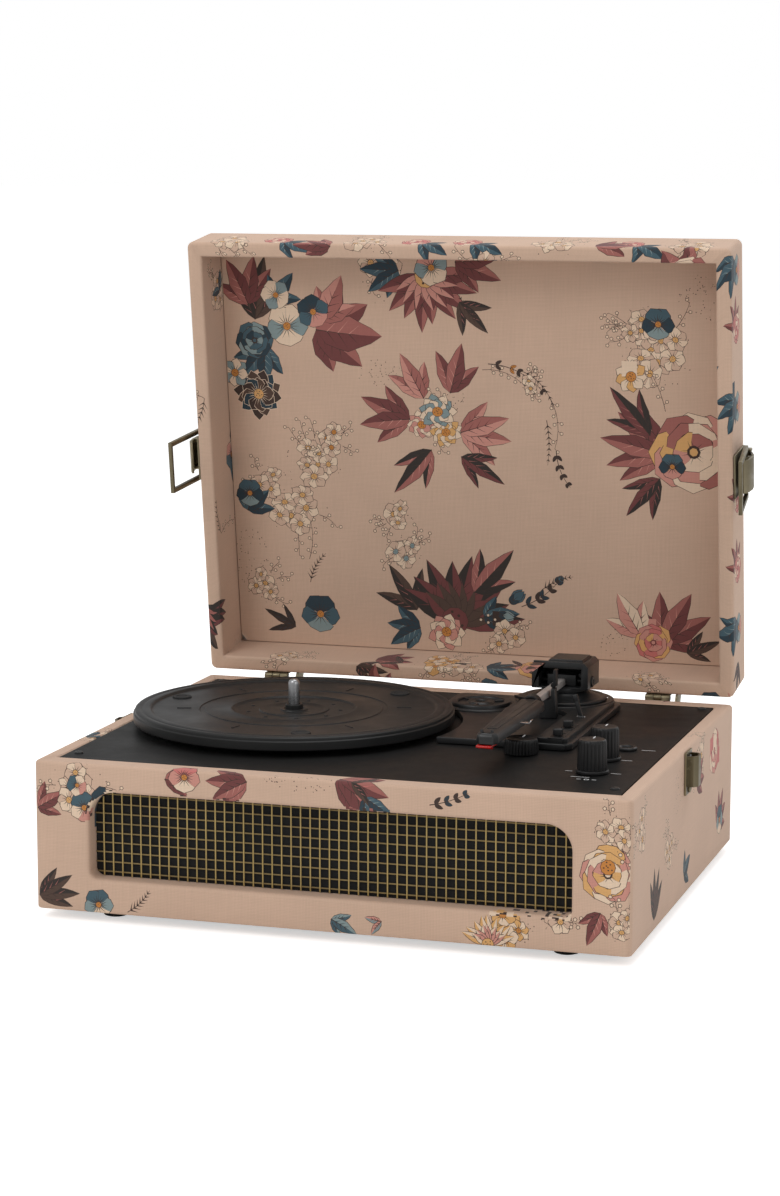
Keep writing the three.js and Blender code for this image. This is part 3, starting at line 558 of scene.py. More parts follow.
class Sheet:
    """Cloth folded round a shell. Cells map flat cloth to space; the print is cut into the cells."""

    def __init__(self, art, holes=()):
        self.cells = []
        self.art = [(polygon, ink) for polygon, ink in art if abs(area_of(polygon)) > 0.02]
        self.boxes = [(min(p[0] for p in a), max(p[0] for p in a), min(p[1] for p in a), max(p[1] for p in a))
                      for a, ink in self.art]
        self.holes = list(holes)
        self.near = {}
        for i, b in enumerate(self.boxes):
            for column in range(math.floor(b[0] / TILE), math.floor(b[1] / TILE) + 1):
                for row in range(math.floor(b[2] / TILE), math.floor(b[3] / TILE) + 1):
                    self.near.setdefault((column, row), []).append(i)

    def cell(self, corners, place, flip=False):
        """corners is a convex polygon on the flat cloth, place turns (u, v) into a point in space."""
        self.cells.append((corners, place, flip))

    def ink_at(self, x, y):
        """The uppermost ink at a point of the flat cloth."""
        for (polygon, ink), box in zip(reversed(self.art), reversed(self.boxes)):
            if box[0] < x < box[1] and box[2] < y < box[3] and inside(polygon, x, y):
                return ink
        return "ground"

    def build(self):
        mesh = bmesh.new()
        ink_layer = mesh.loops.layers.float_color.new("print")
        flat = mesh.verts.layers.float_vector.new("cloth")
        for corners, place, flip in self.cells:
            for tile in self.tiles(corners):
                self.fill(mesh, tile, place, flip, ink_layer, flat)
        return mesh

    def tiles(self, corners):
        xs, ys = [c[0] for c in corners], [c[1] for c in corners]
        for i in range(math.floor(min(xs) / TILE), math.floor(max(xs) / TILE - 1e-9) + 1):
            for k in range(math.floor(min(ys) / TILE), math.floor(max(ys) / TILE - 1e-9) + 1):
                tile = clip_box(corners, i * TILE, (i + 1) * TILE, k * TILE, (k + 1) * TILE)
                if tile and abs(area_of(tile)) > 1e-4:
                    yield tile

    def fill(self, mesh, tile, place, flip, ink_layer, flat):
        x0, x1 = min(p[0] for p in tile), max(p[0] for p in tile)
        y0, y1 = min(p[1] for p in tile), max(p[1] for p in tile)
        nearby = self.near.get((math.floor((x0 + x1) / 2 / TILE), math.floor((y0 + y1) / 2 / TILE)), ())
        points, faces, inks = [], [], []

        def keep(polygon, ink):
            if area_of(polygon) < 0:
                polygon = polygon[::-1]
            faces.append(list(range(len(points), len(points) + len(polygon))))
            points.extend(Vector(p) for p in polygon)
            inks.append(ink)
        keep(tile, "ground")
        boxed = abs(area_of(tile)) > (x1 - x0) * (y1 - y0) * 0.9999
        for i in nearby:
            b = self.boxes[i]
            if b[0] < x1 and b[1] > x0 and b[2] < y1 and b[3] > y0:
                within = boxed and b[0] >= x0 and b[1] <= x1 and b[2] >= y0 and b[3] <= y1
                cut = self.art[i][0] if within else clip_to(self.art[i][0], tile)
                if len(cut) > 2:
                    keep(cut, self.art[i][1])
        for hole in self.holes:
            cut = clip_to(hole, tile)
            if len(cut) > 2:
                keep(cut, None)
        flat_points, _, triangles, _, _, sources = delaunay_2d_cdt(points, [], faces, 1, 1e-4, True)
        verts = {}
        for triangle, source in zip(triangles, sources):
            if not source:
                continue
            ink = inks[max(source)]
            if ink is None:
                continue
            corners = []
            for index in triangle:
                if index not in verts:
                    point = flat_points[index]
                    vert = mesh.verts.new(place(point.x, point.y))
                    vert[flat] = (point.x, point.y, 0)
                    verts[index] = vert
                corners.append(verts[index])
            if flat_area([c.co for c in corners]) < 1e-5:
                continue
            paint(mesh.faces.new(corners[::-1] if flip else corners), ink_layer, ink)


def paint(face, layer, ink):
    """Gives a face of the cloth its ink."""
    for loop in face.loops:
        loop[layer] = INKS[ink]


def flat_area(corners):
    return (corners[1] - corners[0]).cross(corners[2] - corners[0]).length / 2


def inside(polygon, x, y):
    """Whether a point is inside a polygon."""
    odd = False
    for i, (x1, y1) in enumerate(polygon):
        x0, y0 = polygon[i - 1]
        if (y0 > y) != (y1 > y) and x < x0 + (x1 - x0) * (y - y0) / (y1 - y0):
            odd = not odd
    return odd


def clip_to(polygon, convex):
    """A polygon clipped to a convex one, whose corners run anticlockwise."""
    for i, corner in enumerate(convex):
        if not polygon:
            break
        polygon = clip_side(polygon, convex[i - 1], corner)
    return polygon


# ---------------------------------------------------------------- the print

def bumped(s, widest):
    """A half width from 0 to 1 along a petal, largest at the fraction `widest`."""
    return math.sin(math.pi * s ** (math.log(0.5) / math.log(widest)))


def blade_outline(blade):
    """The closed outline of a leaf or petal."""
    middle, left, right = blade
    return [middle[0]] + left + [middle[-1]] + right[::-1]


class Art:
    """Painted shapes on flat cloth, in the order they are laid down."""

    def __init__(self, seed):
        self.shapes = []
        self.chance = random.Random(seed)
        self.place(0, 0)

    def place(self, x, y, turn=0.0, scale=1.0, squash=1.0):
        """Where the next shapes go: a place, a turn in degrees, a scale and a flattening across it.

        It gives back the art itself, so that a motif can follow on the same line.
        """
        a = math.radians(turn)
        self.matrix = (scale * math.cos(a), -scale * squash * math.sin(a), x,
                       scale * math.sin(a), scale * squash * math.cos(a), y)
        return self

    def lay(self, points, ink):
        a, b, x, c, d, y = self.matrix
        self.shapes.append(([(a * p[0] + b * p[1] + x, c * p[0] + d * p[1] + y) for p in points], ink))

    def stroke(self, points, width, ink, taper=0.3):
        """A brush line, thickest at its start."""
        sides = ([], [])
        last = len(points) - 1
        for i, p in enumerate(points):
            q0, q1 = points[max(i - 1, 0)], points[min(i + 1, last)]
            dx, dy = q1[0] - q0[0], q1[1] - q0[1]
            reach = math.hypot(dx, dy) or 1
            w = width / 2 * (1 - (1 - taper) * i / last)
            sides[0].append((p[0] - dy / reach * w, p[1] + dx / reach * w))
            sides[1].append((p[0] + dy / reach * w, p[1] - dx / reach * w))
        self.lay(sides[0] + sides[1][::-1], ink)

    def curve(self, start, angle, length, bend, steps=6):
        """Points along a line that turns by `bend` degrees."""
        x, y = start
        out = [(x, y)]
        for i in range(steps):
            a = math.radians(angle + bend * (i + 0.5) / steps)
            x, y = x + math.cos(a) * length / steps, y + math.sin(a) * length / steps
            out.append((x, y))
        return out

    def blade(self, start, angle, length, width, bend=0.0, widest=0.42, ragged=0.0, steps=6, grow=0.0):
        """The two edges of a leaf or petal, with its middle line."""
        middle = self.curve(start, angle, length, bend, steps)
        left, right = [], []
        for i in range(1, steps):
            s = i / steps
            a = math.radians(angle + bend * s)
            w = width / 2 * bumped(s, widest) * (1 + (ragged if i % 2 else -ragged)) + grow
            x, y = middle[i]
            left.append((x - math.sin(a) * w, y + math.cos(a) * w))
            right.append((x + math.sin(a) * w, y - math.cos(a) * w))
        return middle, left, right

    def leaf(self, start, angle, length, width, inks, bend=14.0, ragged=0.0, veins=3, line="line"):
        """A leaf with a light and a dark half, a midrib and side veins."""
        outer = self.blade(start, angle, length, width, bend, ragged=ragged, grow=0.32)
        middle, left, right = self.blade(start, angle, length, width, bend, ragged=ragged)
        self.lay(blade_outline(outer), line)
        self.lay([middle[0]] + left + [middle[-1]] + middle[-2:0:-1], inks[0])
        self.lay([middle[0]] + middle[1:] + right[::-1], inks[1])
        self.stroke(middle[:-1:2], 0.6, line)
        for i in range(veins):
            k = 1 + i * (len(left) - 1) // max(veins, 1)
            for edge_line, ink in ((left, inks[-1]), (right, line)):
                self.vein(middle[k], between(middle[k + 1], edge_line[k], 0.85), ink)

    def vein(self, start, end, ink, width=0.55):
        """A short hair line, thick at its start."""
        dx, dy = end[0] - start[0], end[1] - start[1]
        f = width / 2 / (math.hypot(dx, dy) or 1)
        self.lay([(start[0] - dy * f, start[1] + dx * f), (start[0] + dy * f, start[1] - dx * f), end], ink)

    def petal(self, start, angle, length, width, ink, line="line", bend=0.0, widest=0.62, streaks=2,
              ragged=0.04, streak=None):
        outer = self.blade(start, angle, length + 0.3, width, bend, widest, ragged, 5, 0.3)
        inner = self.blade(start, angle, length, width, bend, widest, ragged, 5)
        self.lay(blade_outline(outer), line)
        self.lay(blade_outline(inner), ink)
        middle, left, right = inner
        for i in range(streaks):
            f = (i + 0.5) / streaks * 2 - 1
            side = left if f > 0 else right
            self.vein(between(middle[1], side[0], abs(f) * 0.7), between(middle[3], side[2], abs(f) * 0.8),
                      streak or line)

    def ring(self, r, count, start=0.0):
        return [(r * math.cos(start + TAU * i / count), r * math.sin(start + TAU * i / count))
                for i in range(count)]

    def dot(self, x, y, r, ink):
        self.lay([(x + a, y + b) for a, b in self.ring(r, 5, x)], ink)

    def heart(self, r, ink="ochre", dots="line"):
        self.lay(self.ring(r + 0.3, 10), "line")
        self.lay(self.ring(r, 10), ink)
        for i in range(7):
            a = i * 2.4
            q = r * 0.75 * math.sqrt(i / 7)
            self.dot(q * math.cos(a), q * math.sin(a), r * 0.12, dots)

    def flower(self, r, petals, inks, width=1.0, heart="ochre", heart_r=0.24, streaks=2, line="line",
               turn=0.0, rows=1):
        """An open flower with rows of petals round a heart."""
        for row in range(rows):
            reach = r * (1 - 0.3 * row)
            for i in range(petals):
                a = turn + 360 * (i + 0.5 * row) / petals + self.chance.uniform(-5, 5)
                long = reach * self.chance.uniform(0.9, 1.06)
                self.petal((0, 0), a, long, width * 6.5 * r / petals * 0.9, inks[(i + row) % len(inks)], line,
                           self.chance.uniform(-14, 14), streaks=streaks)
        self.heart(r * heart_r, heart)

    def rose(self, r, inks, line="rose_dark"):
        """A full bloom: rows of broad petals closing on a dark heart."""
        for row, (reach, count) in enumerate(((1.0, 8), (0.74, 6), (0.46, 5))):
            for i in range(count):
                a = 360 * (i + 0.5 * (row % 2)) / count + self.chance.uniform(-8, 8)
                self.petal((0, 0), a, r * reach * self.chance.uniform(0.92, 1.05), 8.2 * r * reach / count,
                           inks[(i + row) % len(inks)], line, self.chance.uniform(-20, 20), 0.7, 2, 0.07)
        self.lay(self.ring(r * 0.16, 9), line)
        self.lay(self.ring(r * 0.1, 7), inks[0])

    def protea(self, r, inks, spread=230, turn=90.0, heart="ochre_pale"):
        """Long pointed bracts fanned behind a cone of stamens."""
        for row, (reach, count, wide) in enumerate(((1.0, 9, 0.3), (0.66, 7, 0.26))):
            for i in range(count):
                a = turn + spread * ((i + 0.5) / count - 0.5) * (1 - 0.12 * row)
                long = r * reach * self.chance.uniform(0.86, 1.06)
                self.leaf((0, 0), a, long, r * wide, (inks[row % len(inks)], inks[(row + 1) % len(inks)]),
                          self.chance.uniform(-12, 12), veins=2)
        self.heart(r * 0.2, heart)

    def pansy(self, r, inks, heart="ochre"):
        """Two petals above, two at the sides and a broad one below, with dark streaks."""
        for a, long, wide, ink in ((62, 1.0, 1.0, 0), (118, 1.0, 1.0, 0), (-8, 0.98, 0.9, 1),
                                   (188, 0.98, 0.9, 1), (-90, 0.9, 1.25, 2)):
            self.petal((0, 0), a, r * long, r * wide, inks[ink % len(inks)], "line",
                       self.chance.uniform(-9, 9), 0.66, 3, 0.06)
        self.heart(r * 0.17, heart)

    def bud(self, start, angle, length, ink, cap="teal_dark"):
        for turn in (-16, 16, 0):
            self.petal(start, angle + turn, length, length * 0.42, ink, "line", -turn, 0.55, 1)
        self.leaf(start, angle + 34, length * 0.55, length * 0.2, (cap, cap), -20, veins=0)
        self.leaf(start, angle - 34, length * 0.55, length * 0.2, (cap, cap), 20, veins=0)

    def sprig(self, start, angle, length, bend, pairs, size, inks, bud=None, wide=0.36):
        """A stem with leaflets on both sides."""
        stem = self.curve(start, angle, length, bend, 8)
        self.stroke(stem, 0.6, "line", 0.5)
        for i in range(pairs):
            s = (i + 0.7) / pairs
            p = stem[min(8, round(s * 8))]
            a = angle + bend * s
            for side in (-1, 1):
                self.leaf(p, a + side * 46, size * (1.1 - 0.45 * s), size * wide, (inks[i % len(inks)],) * 2,
                          -side * 18, veins=1 if size > 6 else 0)
        if bud:
            self.bud(stem[-1], angle + bend, size * 0.9, bud)

    def fern(self, start, angle, length, bend, ink, size=5.0):
        stem = self.curve(start, angle, length, bend, 8)
        self.stroke(stem, 0.5, ink, 0.4)
        for i in range(1, 8):
            a = angle + bend * i / 8
            long = size * (1.1 - 0.09 * i)
            for side in (-1, 1):
                turn = math.radians(a + side * 46)
                end = (stem[i][0] + long * math.cos(turn), stem[i][1] + long * math.sin(turn))
                self.vein(stem[i], end, ink, 0.9)

    def berries(self, start, angle, length, bend, count, ink="cream"):
        stem = self.curve(start, angle, length, bend, 6)
        self.stroke(stem, 0.4, "line", 0.6)
        for i in range(count):
            p = stem[1 + i * 5 // max(count - 1, 1)]
            a = math.radians(angle + bend * i / count + (55 if i % 2 else -55))
            q = (p[0] + 2.8 * math.cos(a), p[1] + 2.8 * math.sin(a))
            self.stroke([p, q], 0.35, "line")
            self.dot(q[0], q[1], 1.35, "line")
            self.dot(q[0], q[1], 0.95, ink)

    def stipple(self, wide, high, count, ink="line"):
        for _ in range(count):
            a, r = self.chance.uniform(0, TAU), math.sqrt(self.chance.random())
            self.dot(wide * r * math.cos(a), high * r * math.sin(a), self.chance.uniform(0.22, 0.42), ink)

    # ---- groups

    def leaf_fan(self, x, y, turn, count, length, spread=70.0, inks=("rose", "rose_dark", "rose_pale"),
                 wide=0.36, ragged=0.06):
        self.place(x, y, turn)
        for i in sorted(range(count), key=lambda k: -abs(k - (count - 1) / 2)):
            f = i / max(count - 1, 1) - 0.5
            long = length * (1 - 0.5 * abs(f)) * self.chance.uniform(0.9, 1.05)
            self.leaf((0, 0), spread * f, long, long * wide, inks, 26 * f + self.chance.uniform(-8, 8),
                      ragged)

    def line_flowers(self, x, y, count, size, spread=12.0, inks=("cream", "ground"), heart="ochre_pale"):
        """Flowers drawn mostly in outline, with dots about them."""
        self.place(x, y)
        self.stipple(spread * 1.1, spread, 26)
        for i in range(count):
            a = i * 2.4 + x
            r = spread * 0.62 * math.sqrt((i + 0.3) / count)
            self.place(x + r * math.cos(a), y + r * math.sin(a), self.chance.uniform(0, 360), 1.0,
                       self.chance.uniform(0.75, 1.0))
            self.flower(size * self.chance.uniform(0.8, 1.1), 6 + i % 3, inks, 1.0, heart, 0.22, 2)
        for i in range(3):
            a = self.chance.uniform(0, 360)
            self.place(x + spread * 0.8 * math.cos(math.radians(a)),
                       y + spread * 0.8 * math.sin(math.radians(a)))
            self.berries((0, 0), a, spread * 0.7, self.chance.uniform(-60, 60), 4)

    def pansies(self, x, y, size, turn=0.0, inks=(("teal", "rose_pale", "cream"),
                                                  ("teal_dark", "teal_pale", "pink"))):
        for i, (dx, dy, s) in enumerate(((0, 0, 1), (0.95, 0.5, 0.78), (-0.35, 1.05, 0.7))):
            self.place(x + dx * size * 1.3, y + dy * size * 1.3, turn + 24 * i, s)
            self.pansy(size, inks[i % 2])

    def teal_leaves(self, x, y, turn, count, length):
        self.leaf_fan(x, y, turn, count, length, 90, ("teal", "teal_dark", "teal_pale"), 0.4)

    def dark_leaves(self, x, y, turn, count, length):
        self.leaf_fan(x, y, turn, count, length, 62, ("dark", "brown", "rose"), 0.26, 0.0)

    def daisies(self, x, y, size):
        for dx, dy, s, inks in ((-0.7, -0.2, 0.8, ("cream", "rose_pale")),
                                (0.55, -0.55, 0.85, ("cream", "ochre_pale")),
                                (0.15, 0.5, 1.0, ("cream", "teal_pale"))):
            self.place(x + dx * size, y + dy * size, 30 * dx, s, 0.9)
            self.flower(size, 11, inks, 1.05, "ochre", 0.27, 1, rows=2)


def between(a, b, f):
    return (a[0] + (b[0] - a[0]) * f, a[1] + (b[1] - a[1]) * f)


# ---------------------------------------------------------------- where the print lies on the cloth

# Each face of the covering has its own stretch of flat cloth, a whole number of tiles from the others.
SIDES = ("front", "right", "back", "left")
BASE_AT = {side: 600.0 * i for i, side in enumerate(SIDES)}
LID_AT = {side: 3000.0 + 600.0 * i for i, side in enumerate(SIDES)}
TOP_AT = 6000.0
LINING_AT = 7200.0
LINING_DEEP = 2 * (HALF_D - LID_WALL)


def base_art():
    """The base: motifs placed one by one on the front and right, and scattered on the back and left."""
    art = Art(11)
    art.leaf_fan(-176, 60, 30, 3, 22)
    art.line_flowers(-150, 74, 5, 8.5, 17)
    art.pansies(-146, 62, 9.5, 20, (("teal", "cream", "rose_pale"), ("teal_dark", "cream", "teal_pale")))
    art.teal_leaves(-133, 61, -35, 3, 17)
    art.dark_leaves(-176, 8, 20, 4, 30)
    art.place(-138, 5, 10).pansy(9.5, ("teal", "teal_pale", "cream"))
    art.place(0, 0).fern((-120, 2), 30, 20, 30, "line")
    art.leaf_fan(-96, 82, 0, 3, 24, 50)
    art.leaf_fan(-46, 84, 195, 4, 30, 60)
    art.place(-84, 84).pansy(10, ("pink", "rose_pale", "cream"))
    art.place(-14, 86).stipple(22, 6, 50)
    art.leaf_fan(8, 92, -35, 4, 38, 60, ("rose", "rose_dark", "pink"), 0.34)
    art.leaf_fan(24, 80, -60, 2, 24, 50, ("teal", "teal_dark", "teal_pale"), 0.36)
    art.dark_leaves(16, 88, -10, 2, 22)
    art.place(0, 0).sprig((62, 78), 10, 24, 20, 4, 5.5, ("line", "teal_dark"))
    art.leaf_fan(4, 8, -25, 3, 17, 60, ("teal_pale", "teal", "teal_dark"))
    art.leaf_fan(34, 9, 200, 2, 14, 50, ("teal_pale", "rose_pale", "rose"))
    art.line_flowers(108, 12, 5, 8, 14, ("cream", "ochre_pale"), "ochre")
    art.line_flowers(135, 20, 3, 7, 9)
    art.place(96, 1, 80).protea(17, ("ochre_pale", "cream", "rose_pale"), 150, 10)
    art.place(164, 46).rose(17, ("cream", "rose_pale", "ochre_pale"), "line")
    art.place(164, 50).heart(4.2, "ochre")
    art.line_flowers(168, 70, 4, 7.5, 12)
    art.leaf_fan(160, 24, 250, 3, 20, 70)
    art.line_flowers(172, 18, 3, 7, 10)

    right = BASE_AT["right"]
    art.dark_leaves(right - 86, 6, 78, 4, 36)
    art.place(right - 19, 67).stipple(20, 14, 50)
    art.line_flowers(right - 45, 37, 4, 8, 14)
    art.line_flowers(right + 39, 73, 4, 8, 14)
    art.leaf_fan(right + 30, 60, 20, 4, 26, 80)
    art.leaf_fan(right + 100, 18, 60, 5, 27, 110)
    art.place(right + 104, 22).pansy(10, ("teal", "teal_pale", "cream"))
    art.place(right + 84, 70).rose(15, ("rose_pale", "pink", "cream"))
    art.teal_leaves(right - 4, 12, 30, 3, 22)
    art.line_flowers(right - 122, 66, 4, 8, 13)
    for side in ("back", "left"):
        half = HALF_W if side == "back" else HALF_D
        scatter(art, BASE_AT[side] - half, BASE_AT[side] + half, 0, 90, 60)
    return art.shapes


def lid_art():
    """The lid's walls and its outside."""
    art = Art(23)
    front, right, back = LID_AT["front"], LID_AT["right"], LID_AT["back"]
    # the inside of the hinge wall and its rim, seen between the lid and the base
    art.leaf_fan(back + 66, 56, 170, 4, 30, 70)
    art.dark_leaves(back + 76, 46, 192, 3, 26)
    art.dark_leaves(back + 46, 54, 20, 2, 22)
    art.line_flowers(back + 20, 58, 6, 9, 17, ("cream", "ochre_pale"), "ochre")
    art.line_flowers(back + 2, 54, 4, 8, 12)
    art.teal_leaves(back - 14, 52, 160, 4, 24)
    art.place(back - 48, 58).rose(16, ("rose_pale", "ochre_pale", "brown"))
    art.dark_leaves(back - 36, 62, 10, 2, 20)
    art.line_flowers(back - 74, 56, 3, 7, 10)
    art.line_flowers(back - 122, 54, 3, 7, 11)
    art.line_flowers(back + 128, 56, 4, 7, 12)
    # the inside of the right wall
    height = 64
    for y, tint in ((-112, "pink"), (-20, "rose_pale"), (104, "rose")):
        art.place(right + y, height).rose(11, (tint, "rose_pale", "cream"))
        art.leaf_fan(right + y + 6, height, 40, 3, 22, 90)
    art.teal_leaves(right - 66, height, 200, 4, 24)
    art.line_flowers(right + 48, height, 4, 8, 13)
    # outside of the right wall
    for y in (-136, -50, 94):
        art.teal_leaves(right + y, 30, 40, 4, 26)
        art.place(right + y + 8, 22).pansy(10, ("teal", "teal_pale", "rose_pale"))
    for y in (-92, 16, 62):
        art.leaf_fan(right + y, 26, 160, 4, 24, 100)
        art.place(right + y, 24).rose(10, ("pink", "rose_pale", "cream"))
    art.dark_leaves(right + 124, 24, 20, 3, 24)
    # the top wall and its rim
    for x, inks in ((-150, 0), (-112, 1), (-58, 0), (-20, 1), (14, 1), (66, 0), (118, 1), (152, 0)):
        if inks:
            art.teal_leaves(front + x, 34, 30, 3, 22)
            art.place(front + x - 6, 28).rose(10, ("pink", "rose_pale", "cream"))
        else:
            art.line_flowers(front + x, 30, 5, 8.5, 16)
    art.leaf_fan(front - 80, 40, 200, 4, 28)
    art.leaf_fan(front + 92, 36, -20, 4, 28)
    scatter(art, front - HALF_W, front + HALF_W, 56, 84, 34)
    left = LID_AT["left"]
    scatter(art, left - HALF_D, left + HALF_D, 0, 84, 56)
    scatter(art, back - HALF_W, back + HALF_W, 0, 36, 60)
    scatter(art, TOP_AT - HALF_W, TOP_AT + HALF_W, -HALF_D, HALF_D, 76)
    return art.shapes


def lining_art():
    """The inside of the lid, with the motifs laid out in loose groups over open ground."""
    art = Art(37)
    # upper left: teal and rose leaves about a group of pansies
    art.place(-52, 244).stipple(20, 12, 30)
    art.dark_leaves(-146, 222, 82, 3, 42)
    art.leaf_fan(-150, 232, 100, 4, 38, 80)
    art.leaf_fan(-104, 216, -8, 5, 44, 110, wide=0.5)
    art.leaf_fan(-100, 222, 60, 3, 34, 60, ("rose_pale", "rose", "rose_dark"), 0.44)
    art.teal_leaves(-140, 204, 250, 4, 32)
    art.teal_leaves(-132, 236, 50, 3, 24)
    art.pansies(-124, 218, 15, 10, (("cream", "teal_pale", "cream"), ("teal_dark", "teal", "rose_pale")))
    art.place(-147, 208).rose(13, ("teal", "teal_dark", "teal_pale"), "line")
    art.place(-146, 172, 20)
    art.flower(17, 12, ("brown", "teal_dark", "line"), 1.1, "ochre_pale", 0.2, 3, "cream", rows=2)
    art.place(-162, 186, 40).flower(10, 8, ("teal_pale", "cream"), 1.0, "ochre", 0.25, 2)
    # top, left of the middle: a hanging spray
    art.line_flowers(-58, 262, 5, 9, 16)
    art.leaf_fan(-46, 256, 195, 4, 30, 90, ("teal", "teal_dark", "teal_pale"))
    art.place(-28, 252, -80).protea(36, ("rose", "rose_dark", "rose_pale", "pink"), 190, 0)
    art.leaf_fan(-8, 262, -10, 4, 34, 70)
    art.dark_leaves(-6, 236, -50, 3, 30)
    art.teal_leaves(-28, 262, 20, 3, 22)
    art.place(-24, 258, 200).pansy(12, ("cream", "teal_pale", "rose_pale"))
    art.place(8, 224).fern((0, 0), 150, 22, -40, "line", 4)
    # the middle: daisies in a star of rose and dark leaves
    art.leaf_fan(-42, 158, 172, 4, 40, 74, ("rose", "rose_dark", "rose_pale"), 0.34)
    art.leaf_fan(-32, 172, 118, 3, 36, 44, ("rose_pale", "rose", "rose_dark"), 0.34)
    art.leaf_fan(-14, 176, 74, 3, 38, 50, ("rose", "rose_dark", "rose_pale"), 0.34)
    art.leaf_fan(-8, 150, 4, 4, 40, 80, ("rose", "rose_pale", "rose_dark"), 0.34)
    art.leaf_fan(-28, 138, -128, 3, 40, 50, ("rose", "dark", "rose_pale"), 0.26)
    art.leaf_fan(-8, 134, -30, 3, 34, 50, ("dark", "rose_dark", "rose"), 0.24)
    art.line_flowers(-24, 156, 4, 9, 14)
    art.daisies(-25, 157, 13)
    art.place(-12, 172).stipple(10, 8, 26)
    art.place(-62, 188).stipple(16, 9, 44)
    # the long thin sprays right of the middle
    art.place(0, 0)
    art.berries((8, 192), 8, 34, -60, 9)
    art.sprig((12, 196), 0, 40, -50, 5, 5, ("line", "ochre"))
    art.fern((34, 192), -20, 34, -60, "line", 4.5)
    art.berries((52, 176), -60, 36, -50, 8)
    art.fern((50, 160), -80, 30, -20, "line", 4)
    art.sprig((56, 140), -90, 26, 40, 4, 5, ("line",))
    art.line_flowers(40, 184, 2, 5, 7)
    # upper right: line flowers with a teal flower
    art.line_flowers(122, 206, 8, 10, 26)
    art.line_flowers(112, 222, 4, 8, 15)
    art.place(124, 224).pansy(11, ("teal", "teal_dark", "teal_pale"))
    art.place(106, 190).flower(11, 9, ("cream", "ochre_pale"), 1.0, "ochre", 0.3, 2)
    art.place(150, 240).stipple(14, 16, 50)
    # right edge: a large bloom with rose leaves
    art.leaf_fan(128, 140, 165, 5, 48, 84, ("rose", "rose_dark", "rose_pale"), 0.3)
    art.leaf_fan(118, 152, 132, 3, 44, 40, ("rose_dark", "dark", "rose"), 0.24)
    art.leaf_fan(124, 124, 225, 3, 38, 50, ("dark", "rose_dark", "rose"), 0.24)
    art.place(146, 142).rose(28, ("ochre_pale", "rose_pale", "cream", "rose"), "line")
    art.place(132, 132).pansy(9, ("teal", "teal_dark", "rose_pale"))
    art.place(0, 0).berries((128, 168), 100, 26, 20, 6)
    # left edge, below the middle
    art.line_flowers(-108, 128, 6, 9, 19)
    art.line_flowers(-98, 142, 3, 7, 12, heart="ochre")
    art.line_flowers(-124, 94, 7, 9, 21)
    art.line_flowers(-142, 112, 4, 8, 13)
    art.teal_leaves(-158, 92, 60, 4, 26)
    art.place(-156, 104).pansy(10, ("teal", "teal_dark", "teal_pale"))
    art.place(-158, 58).stipple(14, 22, 70)
    art.line_flowers(-150, 40, 4, 7, 14)
    art.place(-116, 60).berries((0, 0), 70, 26, 30, 7)
    art.place(-110, 22).pansy(14, ("teal_dark", "teal", "teal_pale"))
    art.place(0, 0).fern((-116, 44), 80, 24, -40, "line", 5)
    art.leaf_fan(-128, 12, 150, 3, 26, 60, ("line", "dark", "teal_dark"), 0.2)
    # small line flowers left of the middle
    art.line_flowers(-54, 92, 3, 8, 11)
    art.line_flowers(-48, 68, 4, 8, 13, heart="teal_pale")
    # below the middle: a dark protea with teal sprigs
    art.dark_leaves(-42, 28, 118, 3, 40)
    art.place(-16, 22).protea(46, ("dark", "rose_dark", "brown", "rose"), 170, 74, "rose_dark")
    art.leaf_fan(-2, 42, 48, 3, 40, 50, ("rose", "dark", "rose_pale"), 0.3)
    art.teal_leaves(-40, 16, 190, 4, 28)
    art.teal_leaves(4, 26, 10, 3, 24)
    art.place(0, 0)
    art.bud((22, 36), 40, 13, "teal")
    art.bud((14, 28), -10, 11, "teal_pale")
    art.sprig((30, 34), 20, 30, 30, 5, 7, ("teal_dark", "line"), "teal")
    art.fern((44, 46), 40, 24, -30, "line", 5)
    art.place(-22, 14).flower(13, 9, ("cream", "rose_pale"), 1.0, "ochre", 0.25, 2, rows=2)
    art.line_flowers(18, 12, 4, 8, 13)
    # lower right: rose leaves with a pale flower
    art.leaf_fan(124, 14, 62, 5, 42, 120, ("rose", "rose_dark", "rose_pale"), 0.34)
    art.leaf_fan(110, 18, 122, 3, 34, 60, ("rose_pale", "cream", "rose"), 0.4)
    art.place(118, 14).rose(13, ("rose_pale", "ochre_pale", "pink"))
    art.dark_leaves(140, 8, 20, 3, 24)
    art.place(92, 12).stipple(10, 10, 26)
    return [([(x + LINING_AT, y) for x, y in shape], ink) for shape, ink in art.shapes]


def scatter(art, x0, x1, y0, y1, gap=46):
    """Groups spread at random with clear ground between them."""
    taken = []
    groups = (
        lambda x, y, a: (art.leaf_fan(x, y, a, 4, 30, 90), art.daisies(x, y, 10)),
        lambda x, y, a: (art.teal_leaves(x, y, a, 4, 26), art.pansies(x, y, 11, a)),
        lambda x, y, a: (art.line_flowers(x, y, 6, 9, 17), art.teal_leaves(x, y, a, 2, 20)),
        lambda x, y, a: (art.leaf_fan(x, y, a, 5, 34, 150), art.place(x, y, a).rose(15, ROSE_INKS)),
        lambda x, y, a: (art.dark_leaves(x, y, a, 3, 34),
                         art.place(x, y, a - 90).protea(26, DARK_INKS, 160)),
        lambda x, y, a: (art.place(x, y).fern((0, 0), a, 28, 40, "line"),
                         art.berries((0, 0), a + 90, 26, 50, 7)),
    )
    for i in range(400):
        x, y = art.chance.uniform(x0, x1), art.chance.uniform(y0, y1)
        if all(math.hypot(x - px, y - py) > gap for px, py in taken):
            taken.append((x, y))
            groups[(len(taken) * 5 + i) % len(groups)](x, y, art.chance.uniform(0, 360))


ROSE_INKS = ("pink", "rose_pale", "cream", "rose")
DARK_INKS = ("rose_dark", "dark", "rose", "brown")


# ---------------------------------------------------------------- cloth-covered shells

